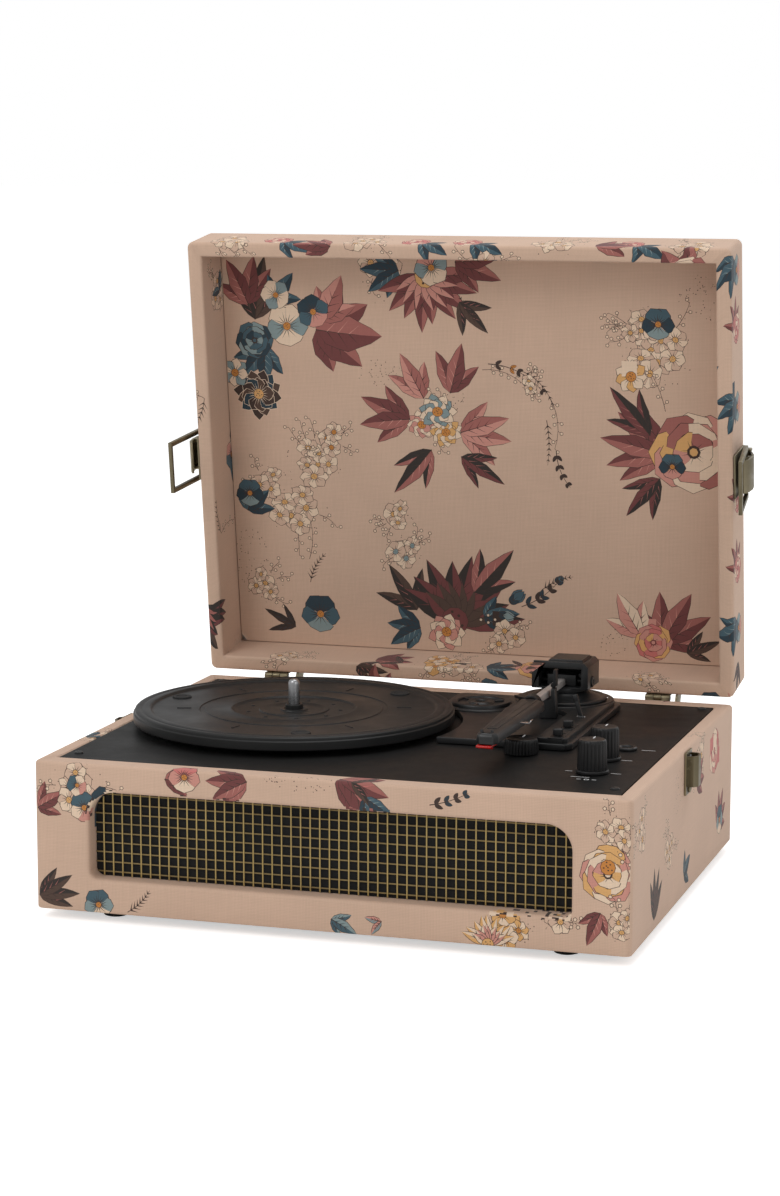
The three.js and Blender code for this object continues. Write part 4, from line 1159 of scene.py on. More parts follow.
CORNER_R = 4.0


def side_frame(side):
    """The direction along a side as seen from outside, its outward normal and its half length and depth."""
    return {"front": ((1, 0), (0, -1), HALF_W, HALF_D), "right": ((0, 1), (1, 0), HALF_D, HALF_W),
            "back": ((-1, 0), (0, 1), HALF_W, HALF_D), "left": ((0, -1), (-1, 0), HALF_D, HALF_W)}[side]


def along_profile(profile, v):
    """Interpolates (v, outer inset, share of the wall's thickness, z) at v."""
    for a, b in zip(profile, profile[1:]):
        if v <= b[0] + 1e-9:
            f = 0 if b[0] == a[0] else (v - a[0]) / (b[0] - a[0])
            return [p + (q - p) * f for p, q in zip(a[1:], b[1:])]
    return profile[-1][1:]


def wall_place(side, profile, thick, shift):
    """Turns flat cloth on one side of a ring of walls into space. thick is (along x walls, along y walls)."""
    along, out, length, depth = side_frame(side)
    thick_here = thick[1] if side in ("front", "back") else thick[0]
    thick_next = thick[0] if side in ("front", "back") else thick[1]

    def place(u, v):
        u -= shift
        fixed, share, z = along_profile(profile, v)
        here, beside = fixed + share * thick_here, fixed + share * thick_next
        core, sign = length - CORNER_R, math.copysign(1, u)
        if abs(u) <= core:
            s = u / core * (length - beside) if here > CORNER_R else u
            t = depth - here
        elif here >= CORNER_R:
            s, t = sign * (length - beside), depth - here
        else:
            turn = (abs(u) - core) / CORNER_R * math.pi / 4
            s = sign * (core + (CORNER_R - here) * math.sin(turn))
            t = depth - CORNER_R + (CORNER_R - here) * math.cos(turn)
        return (along[0] * s + out[0] * t, along[1] * s + out[1] * t, z)
    return place


def wall_cells(sheet, side, profile, thick, shift, flip=False):
    """Cells for one side: each flat or curved step of the profile, with finer steps round the corners."""
    length = side_frame(side)[2]
    core = length - CORNER_R
    steps = [-length, -length + 1.4, -length + 2.8, -core, core, length - 2.8, length - 1.4, length]
    place = wall_place(side, profile, thick, shift)
    for a, b in zip(profile, profile[1:]):
        if b[0] - a[0] < 1e-6:
            continue
        for u0, u1 in zip(steps, steps[1:]):
            sheet.cell(rectangle(shift + u0, shift + u1, a[0], b[0]), place, flip)


def profile_of(points):
    """A wall's section from (inset, share of the thickness, z), with the cloth's length run along it."""
    out, run = [], None
    for inset, share, z in points:
        here = (inset + share * 10, z)
        run = points[0][2] if run is None else run + math.dist(here, before)
        before = here
        out.append((run, inset, share, z))
    return out


def ring_outline(inset):
    """The outline of the case, inset by less than its corner radius, with corners stepped like the walls."""
    out = []
    for sx, sy, first in ((1, -1, -90), (1, 1, 0), (-1, 1, 90), (-1, -1, 180)):
        cx, cy = sx * (HALF_W - CORNER_R), sy * (HALF_D - CORNER_R)
        out += arc(cx, cy, CORNER_R - inset, first, first + 90, 6)
    return out


COVER_EDGE = 2.0
FOOT_EDGE = 1.2
RIM_FOLD = 1.2
GRILLE_DEEP = 12.2
REAR_DEEP = 9.5


def make_base_cover():
    edge, foot = COVER_EDGE, FOOT_EDGE
    top, low = RIM_Z, BASE_Z
    points = [(0, 1, low + 7), (0, 1, low), (foot, 0, low)]
    points += [(inset, 0, z) for inset, z in arc(foot, low + foot, foot, 270, 180, 3)[1:]]
    points += [(inset, 0, z) for inset, z in arc(edge, top - edge, edge, 180, 90, 4)]
    points += [(CORNER_R, 0, top), (-RIM_FOLD, 1, top), (0, 1, top - RIM_FOLD), (0, 1, top - 12)]
    profile = profile_of(points)
    offset = next(p[0] for p in profile if abs(p[3] - low - foot) < 1e-6 and p[1] < 1e-6) - foot
    profile = [(v - offset, inset, share, z) for v, inset, share, z in profile]
    sheet = Sheet(base_art(), holes=[hole_outline(HOLE_EDGE), rear_outline()])
    for side in SIDES:
        wall_cells(sheet, side, profile, (SIDE_T, END_T), BASE_AT[side])
    mesh = sheet.build()
    front = -HALF_D
    add_tray(mesh, sheet, hole_outline(HOLE_EDGE), lambda u, v, deep: (u, front + deep, BASE_Z + v),
             GRILLE_DEEP, HOLE_EDGE)
    back = BASE_AT["back"]
    add_tray(mesh, sheet, rear_outline(), lambda u, v, deep: (back - u, HALF_D - deep, BASE_Z + v),
             REAR_DEEP, 0.0)
    finish_cloth(mesh)
    piece("base_covering", mesh, CLOTH, "base", ("base_walls",), smooth=40)


HOLE_EDGE = 2.2
GRILLE_LOW, GRILLE_HIGH = 20.0, 71.5
GRILLE_HALF = 143.5
GRILLE_RADII = (5.0, 15.0)
GRILLE_PITCH = 5.75
WIRE_HALF = 0.4


def hole_outline(grow):
    """The opening for the grille, grown by a margin, on the front's flat cloth."""
    x, low, high = GRILLE_HALF + grow, GRILLE_LOW - grow, GRILLE_HIGH + grow
    r0, r1 = (r + grow for r in GRILLE_RADII)
    return (arc(x - r0, low + r0, r0, -90, 0, 8) + arc(x - r1, high - r1, r1, 0, 90, 14)
            + arc(-x + r1, high - r1, r1, 90, 180, 14) + arc(-x + r0, low + r0, r0, 180, 270, 8))


REAR_LAP = 3.2


def rear_outline():
    """The opening behind the rear panel, which laps over its edges, on the back's flat cloth."""
    low, high = node_box("rear_panel")
    middle = (low + high) / 2
    x, z = middle.x, middle.z - BASE_Z
    wide, tall = (high.x - low.x) / 2 - REAR_LAP, (high.z - low.z) / 2 - REAR_LAP
    shift = BASE_AT["back"]
    return [(shift - x + a, z + b) for a, b in fillet(rectangle(-wide, wide, -tall, tall), 2.0)]


def add_tray(mesh, sheet, outline, place, deep, edge):
    """Lines an opening: a rounded lip, walls going in and a floor painted dark as shade inside the opening.
    """
    layer = mesh.loops.layers.float_color["print"]
    flat = mesh.verts.layers.float_vector["cloth"]
    steps = arc(0, edge, edge, -90, 0, 4) if edge else [(0.0, 0.0)]
    steps += [(edge, edge + (deep - edge) * (i + 1) / 3) for i in range(3)]
    dense = spaced(outline, 2.0 if edge else 8.0)
    normals = outward(dense)
    rows = []
    for inset, depth in steps:
        row = []
        for (x, y), (nx, ny) in zip(dense, normals):
            vert = mesh.verts.new(place(x - nx * inset, y - ny * inset, depth))
            run = inset + depth
            vert[flat] = (x - nx * run, y - ny * run, 0)
            row.append(vert)
        rows.append(row)
    count = len(dense)
    for row, after in zip(rows, rows[1:]):
        for i in range(count):
            k = (i + 1) % count
            face = mesh.faces.new((row[i], row[k], after[k], after[i]))
            centre = sum((v[flat] for v in face.verts), Vector((0, 0, 0))) / 4
            paint(face, layer, sheet.ink_at(centre.x, centre.y))
    # the floor gets the dark ink: painted shade inside the opening, not print
    paint(mesh.faces.new(rows[-1]), layer, "dark")


def spaced(outline, step):
    """The outline with points no further apart than a step."""
    out = []
    for i, here in enumerate(outline):
        after = outline[(i + 1) % len(outline)]
        parts = max(1, math.ceil(math.dist(here, after) / step))
        out += [between(here, after, k / parts) for k in range(parts)]
    return out


def outward(points):
    """Unit normals of an anticlockwise outline."""
    out = []
    for i in range(len(points)):
        a, b = points[i - 1], points[(i + 1) % len(points)]
        d = Vector((b[1] - a[1], a[0] - b[0])).normalized()
        out.append((d.x, d.y))
    return out


def finish_cloth(mesh):
    """Joins the tiles into one skin."""
    bmesh.ops.remove_doubles(mesh, verts=mesh.verts, dist=2e-3)
    bmesh.ops.dissolve_degenerate(mesh, dist=1e-3, edges=mesh.edges)


def make_lid_cover():
    edge, inner = COVER_EDGE, 1.5
    top, low = LID_TOP, LID_SEAT
    outer = arc(edge, top - edge, edge, 90, 180, 4) + arc(edge, low + edge, edge, 180, 270, 4)
    points = [(inset, 0, z) for inset, z in outer] + [(CORNER_R, 0, low), (-inner, 1, low)]
    points += [(inset, 1, z) for inset, z in arc(-inner, low + inner, inner, -90, 0, 3)[1:]]
    points += [(0, 1, LID_FLOOR + 1.6)]
    profile = profile_of(points)
    start = profile[0][0]
    profile = [(v - start, inset, share, z) for v, inset, share, z in profile]
    sheet = Sheet(lid_art())
    for side in SIDES:
        wall_cells(sheet, side, profile, (LID_WALL, LID_WALL), LID_AT[side], flip=True)
    outside = [(TOP_AT + x, y) for x, y in ring_outline(edge)]
    sheet.cell(outside, lambda u, v: (u - TOP_AT, v, top))
    mesh = sheet.build()
    x, y = HALF_W - LID_WALL, HALF_D - LID_WALL
    ceiling = mesh.faces.new([mesh.verts.new((a, b, LID_FLOOR + 1.6))
                              for a, b in reversed(rectangle(-x, x, -y, y))])
    paint(ceiling, mesh.loops.layers.float_color["print"], "ground")
    finish_cloth(mesh)
    piece("lid_covering", mesh, CLOTH, "lid", ("lid_walls",), lid=True, smooth=40)


def make_lining():
    """The printed panel that closes the inside of the lid."""
    x, y = HALF_W - LID_WALL - 0.35, HALF_D - LID_WALL - 0.35
    sheet = Sheet(lining_art())
    edge = 0.5
    flat = rectangle(LINING_AT - x + edge, LINING_AT + x - edge, edge + 0.35, LINING_DEEP - edge - 0.35)
    half = LINING_DEEP / 2
    sheet.cell(flat, lambda u, v: (u - LINING_AT, half - v, LID_FLOOR))
    mesh = sheet.build()
    layer = mesh.loops.layers.float_color["print"]
    rows = []
    for inset, z in ((edge, LID_FLOOR), (edge * 0.3, LID_FLOOR + edge * 0.3), (0, LID_FLOOR + edge),
                     (0, LID_FLOOR + 1.4)):
        rows.append([mesh.verts.new((a, b, z)) for a, b in rectangle(-x + inset, x - inset, -y + inset,
                                                                     y - inset)])
    for row, after in zip(rows, rows[1:]):
        for i in range(4):
            k = (i + 1) % 4
            paint(mesh.faces.new((row[k], row[i], after[i], after[k])), layer, "ground")
    paint(mesh.faces.new(rows[-1]), layer, "ground")
    finish_cloth(mesh)
    piece("lid_lining", mesh, CLOTH, "lid", ("lid_panel",), lid=True, smooth=40)


# ---------------------------------------------------------------- base: plate, deck, grille, fittings

def screw(x, y, z, r=2.7):
    """A pan-head screw with a cross slot."""
    head = lathe([(0, z), (r, z), (r, z + 0.35), (r * 0.82, z + 0.95), (r * 0.4, z + 1.15),
                  (0, z + 1.15)], x, y, 24)
    slots = [block(x - a, x + a, y - b, y + b, z + 1.02, z + 1.22, 0.05, 1)
             for a, b in ((r * 0.52, 0.26), (0.26, r * 0.52))]
    return merged(head, *slots)


PLATE_SCREW_X = HALF_W - SIDE_T - 6.5
PLATE_SCREW_Y = (-116, 124)


def make_plate():
    dress(PLATE, "top_plate")
    places = [(sx * PLATE_SCREW_X, y) for y in PLATE_SCREW_Y for sx in (-1, 1)]
    for i, (x, y) in enumerate(places):
        piece(f"plate_screw_{i + 1}", screw(x, y, PLATE_Z), MOULDED, "base")
    make_marks()


def mark(x, y, wide, deep):
    """A printed bar on the plate."""
    mesh = block(-wide / 2, wide / 2, -deep / 2, deep / 2, 0, 0.06, 0.02, 1)
    return placed(mesh, (x, y, PLATE_Z + 0.01))


def make_marks():
    """Printed bars beside the knobs and the socket, with a plain round symbol in front."""
    knob, mode, jack = centre_of("volume_knob"), centre_of("mode_knob"), centre_of("headphone_jack")
    marks = [mark(knob.x - 14, knob.y + 1.5, 4.2, 0.5), mark(knob.x + 13.5, knob.y + 1.5, 6.0, 0.5),
             mark(knob.x - 4, knob.y - 12.5, 11.0, 0.55),
             mark(mode.x - 13.5, mode.y + 1, 4.2, 0.5), mark(mode.x + 13, mode.y + 1, 6.5, 0.5),
             mark(jack.x + 13, jack.y + 1, 8.5, 0.5)]
    ring = lathe([(1.0, 0), (1.5, 0), (1.5, 0.06), (1.0, 0.06)], 0, 0, 24, ring=True)
    marks.append(placed(ring, (knob.x + 1, knob.y - 18, PLATE_Z + 0.01)))
    marks += [mark(knob.x - 3.4, knob.y - 18, 2.6, 0.6), mark(knob.x + 5.4, knob.y - 18, 2.6, 0.6)]
    piece("plate_marks", merged(*marks), WHITE_INK, "base")


STRIP_X = 92.0
STRIP_RISE = 3.0


def deck_parts():
    """The deck's outline and its raised strip, read back from the sizes of the CAD deck."""
    low, high = node_box("arm_deck")
    platter = centre_of("platter")
    radius = (node_box("platter")[1].x - node_box("platter")[0].x) / 2 + 5
    right, front, back, left = high.x, low.y - CENTRE_Y, high.y - CENTRE_Y, low.x
    start = math.degrees(math.asin((front - platter.y) / radius))
    end = math.degrees(math.acos((left - platter.x) / radius))
    curve = arc(platter.x, platter.y, radius, end, start, 40)
    outline = curve + [(right - 3, front), (right, front + 5)] + arc(right - 10, back - 10, 10, 0, 90, 10)
    outline += arc(left + 6, back - 6, 6, 90, 180, 8)
    pivot = pivot_of("arm_swing")
    step = STRIP_X
    raised = [(step, front + 2), (right - 5, front + 2), (right - 3, front + 5), (right - 3, back - 12),
              (right - 12, back - 3), (step - 40, back - 3), (step - 40, pivot.y - 30),
              (step - 6, pivot.y - 36), (step, pivot.y - 44)]
    return outline, fillet(raised, 2.5, 4), low.z, high.z


def recess_ring(x, y, r_in, r_out, z, high=0.5):
    """A low raised ring, as moulded round a hole."""
    return lathe([(r_in, z), (r_in, z + high * 0.6), (r_in + 0.3, z + high), (r_out - 0.4, z + high),
                  (r_out, z + high * 0.5), (r_out, z)], x, y, 64, ring=True)


def make_deck():
    outline, raised, low, high = deck_parts()
    step_z = high - STRIP_RISE
    deck = prism(outline, low, step_z, edge=0.9, segments=3)
    strip = prism(raised, step_z - 0.5, high, edge=0.7, segments=3)
    parts = [deck, strip]
    adapter = centre_of("adapter_45")
    parts.append(recess_ring(adapter.x, adapter.y, 19.3, 22.6, step_z - 0.1, 0.75))
    crescent = arc(adapter.x, adapter.y, 25.5, 200, 330, 24) + arc(adapter.x, adapter.y, 24.6, 330, 200, 24)
    parts.append(prism(crescent, step_z - 0.1, step_z + 0.6, edge=0.15, segments=1))
    for node in ("speed_lever", "autostop_lever"):
        at = centre_of(node)
        frame_outline = fillet(rectangle(at.x - 4.6, at.x + 4.6, at.y - 8.6, at.y + 8.6), 1.4)
        hole = fillet(rectangle(at.x - 3.2, at.x + 3.2, at.y - 7.2, at.y + 7.2), 0.9)
        parts.append(ring_prism(frame_outline, hole, high - 0.2, high + 0.35))
    pivot = pivot_of("arm_swing")
    parts.append(recess_ring(pivot.x, pivot.y, 28.2, 31.2, high - 0.1, 0.6))
    # ribs at the back left corner of the raised strip
    for i in range(4):
        x = 60 + i * 4.2
        parts.append(block(x, x + 1.6, pivot.y - 26, pivot.y - 4 - i * 2, high - 0.1, high + 0.5, 0.2, 1))
    piece("deck_moulding", merged(*parts), MOULDED, "base", ("arm_deck",))


def ring_prism(outer, inner, low, high, edge=0.12):
    """A flat frame between two outlines with the same number of points."""
    mesh = bmesh.new()
    loops = [[mesh.verts.new((x, y, z)) for x, y in line] for line, z in
             ((outer, low), (outer, high), (inner, high), (inner, low))]
    stitch(mesh, loops + loops[:1])
    bmesh.ops.recalc_face_normals(mesh, faces=mesh.faces)
    return soften(mesh, edge, 1)


def make_grille():
    """A fine wire grid in front of black cloth: the upright wires stand in front of the level ones, which get
    a darker copy of the gold as painted shade.
    """
    y = node_box("grille_grid")[0].y - CENTRE_Y
    middle_z = BASE_Z + (GRILLE_LOW + GRILLE_HIGH) / 2
    half_x, half_z = GRILLE_HALF - 0.3, (GRILLE_HIGH - GRILLE_LOW) / 2 - 0.3
    foot_r, top_r = GRILLE_RADII
    pitch, wire = GRILLE_PITCH, WIRE_HALF
    upright, level = [], []

    def reach(distance, half, other, radius):
        """How far a wire at a distance from the middle reaches, inside corners of a radius."""
        into = distance - (half - radius)
        return other if into <= 0 else other - radius + math.sqrt(max(radius * radius - into * into, 0))
    for i in range(-25, 26):
        x = i * pitch
        if abs(x) < half_x:
            up, down = (reach(abs(x), half_x, half_z, r) for r in (top_r, foot_r))
            upright.append(block(x - wire, x + wire, y, y + 0.7, middle_z - down, middle_z + up, 0.18, 1))
    for k in range(-4, 5):
        z = k * pitch
        if abs(z) < half_z:
            side = reach(abs(z), half_z, half_x, top_r if z > 0 else foot_r)
            level.append(block(-side, side, y + 0.5, y + 1.2, middle_z + z - wire, middle_z + z + wire,
                               0.18, 1))
    piece("grille_uprights", merged(*upright), GOLD_FRONT, "base", ("grille_grid",))
    # the level wires take the darker gold, painted shade
    piece("grille_levels", merged(*level), GOLD_SHADED, "base")
    dress(SPEAKER_CLOTH, "grille_cloth")
    dress(BOARD, "speaker_baffle")
    dress(CONE, "speaker_left", "speaker_right")


def make_fittings():
    """Small parts of the base: feet, rear panel and sockets, board, drive and hinges."""
    for node in frame["nodes"]:
        if node.startswith("foot_"):
            at = centre_of(node)
            mesh = lathe([(0, 1.4), (2.4, 1.4), (2.7, 0.3), (3.2, 0.0), (6.2, 0.0), (7.3, 0.4),
                          (7.8, 1.2), (8.5, 5.7), (0, 5.7)], at.x, at.y, 40)
            piece(f"{node}_rubber", mesh, RUBBER, "base", (node,))
    refined("rear_panel", "rear_socket_panel", MOULDED, "base", 0.35)
    dress(STEEL, "rear_jacks", "motor", "hinge_pin_left", "hinge_pin_right")
    dress(BRASS, "motor_pulley", "spindle_bearing")
    dress(CIRCUIT, "control_board")
    dress(RUBBER, "drive_belt")
    dress(LINING, "bottom_panel")
    make_rear_rings()


def make_rear_rings():
    """Coloured rings on the two phono sockets, and screws at the corners of the rear panel."""
    low, high = node_box("rear_panel")
    middle = (low + high) / 2
    y = high.y - CENTRE_Y
    for name, dx, tint in (("left", -20, (0.6, 0.6, 0.6, 1)), ("right", -6, (0.45, 0.02, 0.015, 1))):
        ring = lathe([(2.1, y + 6.1), (4.1, y + 6.1), (4.1, y + 6.6), (2.1, y + 6.6)], middle.x + dx,
                     middle.z, 32, axis="Y", ring=True)
        piece(f"phono_ring_{name}", ring, plain(f"phono_{name}", tint, 0.4), "base")
    for i, (sx, sz) in enumerate(((-1, -1), (1, -1), (1, 1), (-1, 1))):
        x, z = middle.x + sx * 29, middle.z + sz * 16
        head = lathe([(0, 0), (2.2, 0), (2.2, 0.3), (1.7, 0.9), (0, 1.1)], 0, 0, 20)
        head = merged(head, block(-1.2, 1.2, -0.22, 0.22, 0.98, 1.15, 0.04, 1),
                      block(-0.22, 0.22, -1.2, 1.2, 0.98, 1.15, 0.04, 1))
        piece(f"rear_screw_{i + 1}", placed(head, (x, y, z), -90, "X"), STEEL, "base")


# ---------------------------------------------------------------- platter

def make_platter():
    at, low, high = centre_of("platter"), *node_box("platter")
    r, top = (high.x - low.x) / 2, high.z
    skirt = top - 8.2
    profile = [(3.9, top - 5), (51, top - 5), (51, low.z), (54, low.z), (54, top - 3.6), (r - 3, top - 3.6),
               (r - 3, skirt + 0.4), (r - 2.4, skirt), (r - 0.6, skirt), (r - 0.1, skirt + 0.6),
               (r, skirt + 2), (r, top - 3.0), (r - 0.4, top - 2.6), (r - 0.9, top - 2.3),
               (r - 0.9, top - 1.7), (r - 1.1, top - 0.9), (r - 1.8, top - 0.25), (r - 2.8, top),
               (r - 4.0, top - 0.1), (r - 4.9, top - 0.55), (r - 5.6, top - 0.6), (r - 6.4, top - 0.15),
               (r - 7.6, top), (r - 9.4, top), (r - 10.6, top - 0.3), (r - 11.4, top - 1.1),
               (r - 12.2, top - 1.5), (r - 13.4, top - 1.6), (r * 0.59, top - 1.6),
               (r * 0.585, top - 2.15), (r * 0.555, top - 2.15), (r * 0.55, top - 1.6),
               (r * 0.405, top - 1.6), (r * 0.4, top - 1.3), (r * 0.385, top - 1.3),
               (r * 0.375, top - 2.3), (r * 0.365, top - 2.6), (r * 0.22, top - 2.6),
               (r * 0.215, top - 2.0), (r * 0.19, top - 2.0), (r * 0.18, top - 2.6), (8.6, top - 2.6),
               (8.2, top - 1.9), (6.4, top - 1.7), (5.6, top - 2.4), (3.9, top - 2.5)]
    piece("platter_disc", lathe(profile, at.x, at.y, 160, ring=True), PLATTER, "turntable", ("platter",))
    dots = []
    for i in range(9):
        a = TAU * i / 9 + 0.2
        dots.append(lathe([(0, top - 2.6), (1.3, top - 2.6), (1.1, top - 2.1), (0, top - 1.95)],
                          at.x + r * 0.29 * math.cos(a), at.y + r * 0.29 * math.sin(a), 16))
    for i in range(6):
        turn = 60 * i + 18
        outline = fillet(rectangle(r * 0.64, r * 0.73, -0.55, 0.55), 0.4)
        bar = prism(outline, top - 1.75, top - 1.2, edge=0.15, segments=1)
        dots.append(placed(bar, (at.x, at.y, 0), turn))
    piece("platter_marks", merged(*dots), PLATTER, "turntable")
    for i in range(3):
        a = math.radians(-68 + 120 * i)
        x, y = at.x + r * 0.8 * math.cos(a), at.y + r * 0.8 * math.sin(a)
        pad = lathe([(0, top - 1.65), (6.0, top - 1.65), (6.0, top - 1.1), (5.6, top - 0.7), (3.6, top - 0.6),
                     (3.2, top - 0.95), (0, top - 1.0)], x, y, 40)
        piece(f"platter_pad_{i + 1}", pad, RUBBER, "turntable")
    spindle = centre_of("spindle")
    tip = node_box("spindle")[1].z
    profile = [(0, PLATE_Z - 19.9), (3.4, PLATE_Z - 19.9), (3.5, PLATE_Z - 19.5), (3.5, top - 0.4),
               (3.5, tip - 3.2), (3.35, tip - 1.9), (2.9, tip - 0.9), (2.0, tip - 0.25),
               (0.9, tip - 0.02), (0, tip)]
    piece("spindle_pin", lathe(profile, spindle.x, spindle.y, 48), STEEL, "turntable", ("spindle",))
    collar = lathe([(3.7, top - 2.6), (5.4, top - 2.6), (5.4, top + 0.5), (5.0, top + 1.0), (4.2, top + 1.2),
                    (3.7, top + 1.0)], spindle.x, spindle.y, 48, ring=True)
    piece("spindle_collar", collar, PLATTER, "turntable")


# ---------------------------------------------------------------- knobs and sockets

def fluted_knob(node, name, body, flutes, flange):
    """A knob with ribbed sides, a chamfered cap and a white index line."""
    at, low, high = centre_of(node), *node_box(node)
    z0, z1 = PLATE_Z + 0.3, high.z
    wide = (high.x - low.x) / 2
    r = wide - 1.0 if flange else wide
    mesh = bmesh.new()
    count = flutes * 4
    rings = []
    heights = [(z0 + (2.0 if flange else 0.5), 1.0, 1.0), (z0 + 3.0, 1.0, 1.0), (z1 - 2.4, 0.965, 1.0),
               (z1 - 1.1, 0.945, 0.6), (z1 - 0.35, 0.9, 0.15), (z1, 0.84, 0.0)]
    for z, share, depth in heights:
        ring = []
        for i in range(count):
            a = TAU * i / count
            rib = (0.0, 0.75, 1.0, 0.75)[i % 4] * 0.075 * r * depth
            q = r * share - 0.075 * r * depth + rib
            ring.append(mesh.verts.new((at.x + q * math.cos(a), at.y + q * math.sin(a), z)))
        rings.append(ring)
    cap = r * 0.7
    inner = [mesh.verts.new((at.x + cap * math.cos(TAU * i / count),
                             at.y + cap * math.sin(TAU * i / count), z1 - 0.25))
             for i in range(count)]
    rings.append(inner)
    stitch(mesh, rings)
    mesh.faces.new(inner)
    mesh.faces.new(rings[0][::-1])
    parts = [mesh]
    if flange:
        parts.append(lathe([(0, z0), (wide - 0.3, z0), (wide, z0 + 0.4), (wide, z0 + 1.4),
                            (wide - 0.5, z0 + 2.0), (0, z0 + 2.1)], at.x, at.y, 64))
    parts.append(lathe([(0, z0 - 4), (2.9, z0 - 4), (2.9, z0 + 0.8), (0, z0 + 0.8)], at.x, at.y, 24))
    piece(name, merged(*parts), KNOB, body, (node,))
    line = block(at.x - 0.4, at.x + 0.4, at.y + r * 0.3, at.y + r * 0.82, z1 - 0.27, z1 + 0.02, 0.06, 1)
    piece(f"{name}_line", line, WHITE_INK, body)


def make_controls():
    fluted_knob("volume_knob", "volume_cap", "volume_control", 22, True)
    fluted_knob("mode_knob", "mode_cap", "mode_control", 22, True)
    fluted_knob("pitch_knob", "pitch_cap", "pitch_control", 30, False)
    at, low, high = centre_of("headphone_jack"), *node_box("headphone_jack")
    z, r = PLATE_Z + 0.1, (high.x - low.x) / 2
    profile = [(3.3, z - 16), (5.3, z - 16), (5.3, z + 0.2), (r - 0.1, z + 0.2), (r, z + 0.6),
               (r - 0.2, z + 1.4), (r - 0.9, z + 1.9), (4.3, z + 1.9), (3.9, z + 1.6), (3.3, z + 0.8)]
    piece("jack_bushing", lathe(profile, at.x, at.y, 56, ring=True), KNOB, "base", ("headphone_jack",))
    sleeve = lathe([(2.7, z - 15.8), (3.25, z - 15.8), (3.25, z + 0.6), (2.7, z + 0.6)], at.x, at.y, 40,
                   ring=True)
    piece("jack_sleeve", sleeve, STEEL, "base")
    for node, body in (("speed_lever", "speed_slide"), ("autostop_lever", "autostop_slide")):
        at, low, high = centre_of(node), *node_box(node)
        y0, y1 = low.y - CENTRE_Y, high.y - CENTRE_Y
        middle = (y0 + y1) / 2
        side = [(y0 + 0.1, high.z - 4.2), (y0 + 0.5, high.z - 0.6), (y0 + 1.5, high.z),
                (middle, high.z - 0.9), (y1 - 1.5, high.z), (y1 - 0.5, high.z - 0.6),
                (y1 - 0.1, high.z - 4.2)]
        grip = prism(fillet(side, 0.6, 3, closed=False), low.x, high.x, "X", 0.3, 2)
        stem = block(at.x - 1.35, at.x + 1.35, middle - 1.9, middle + 1.9, low.z, high.z - 3.8, 0.2, 1)
        piece(f"{node}_cap", merged(grip, stem), KNOB, body, (node,))


def make_adapter():
    at, low, high = centre_of("adapter_45"), *node_box("adapter_45")
    r, z0, z1 = (high.x - low.x) / 2, low.z, high.z
    profile = [(3.75, z0 + 0.3), (4.0, z0), (r - 0.5, z0), (r, z0 + 0.5), (r, z1 - 0.9),
               (r - 0.35, z1 - 0.25), (r - 1.1, z1), (r - 3.2, z1), (r - 3.8, z1 - 0.4),
               (r - 4.1, z1 - 1.3), (9.0, z1 - 1.35), (8.3, z1 - 0.5), (7.6, z1), (5.0, z1),
               (4.1, z1 - 0.4), (3.75, z1 - 0.9)]
    parts = [lathe(profile, at.x, at.y, 96, ring=True)]
    for i in range(3):
        rib = block(8.6, r - 3.9, -0.9, 0.9, z1 - 1.5, z1 - 0.25, 0.2, 1)
        parts.append(placed(rib, (at.x, at.y, 0), 30 + 120 * i))
    piece("adapter_disc", merged(*parts), MOULDED, "adapter", ("adapter_45",))


# ---------------------------------------------------------------- tone arm

ARM = pivot_of("arm_swing")


def at_arm(mesh):
    """Moves a mesh drawn about the arm's pivot to its place."""
    return moved(mesh, Matrix.Translation(ARM))


def make_arm_base():
    high = node_box("arm_base")[1].z
    low = node_box("arm_deck")[1].z + 0.3
    profile = [(0, low - 9), (5.5, low - 9), (5.5, low), (26.6, low), (27, low + 0.4), (27, low + 1.4),
               (26.4, low + 1.9), (24.6, low + 2.2), (23.6, low + 1.8), (22.2, low + 1.9), (16.8, low + 4.2),
               (15.9, low + 4.5), (15.2, low + 5.3), (14.6, high - 0.2), (14, high), (0, high)]
    piece("arm_base_cone", lathe(profile, ARM.x, ARM.y, 120), MOULDED, "base", ("arm_base",))


def make_arm_housing():
    """The CAD housing's own shape, softened, with a stepped roof, a lip in front, ribs and side bosses."""
    z0 = node_box("arm_housing")[0].z - ARM.z
    roof = prism(fillet(rectangle(-7.6, 13.6, -8.4, 13.4), 1.4), 13.0, 14.6, edge=0.45, segments=3)
    front_lip = prism(fillet(rectangle(-17.2, 14.6, -11.6, -8.9), 0.8), 12.4, 13.5, edge=0.3)
    rib = [block(-17.9, -17.2, -8 + i * 3.4, -6.6 + i * 3.4, z0 + 3.4, 5.0, 0.2, 1) for i in range(6)]
    boss = [(0, 0), (3.6, 0), (3.6, 0.5), (3.0, 0.9), (1.6, 0.9), (1.3, 0.5), (0, 0.5)]
    bosses = [placed(lathe(boss, 0, 0, 40), (side * 17.9, 0, 0), side * 90, "Y") for side in (-1, 1)]
    extra = [at_arm(mesh) for mesh in (roof, front_lip, *rib, *bosses)]
    refined("arm_housing", "arm_housing_shell", MOULDED, "arm_swivel", 0.6, extra)


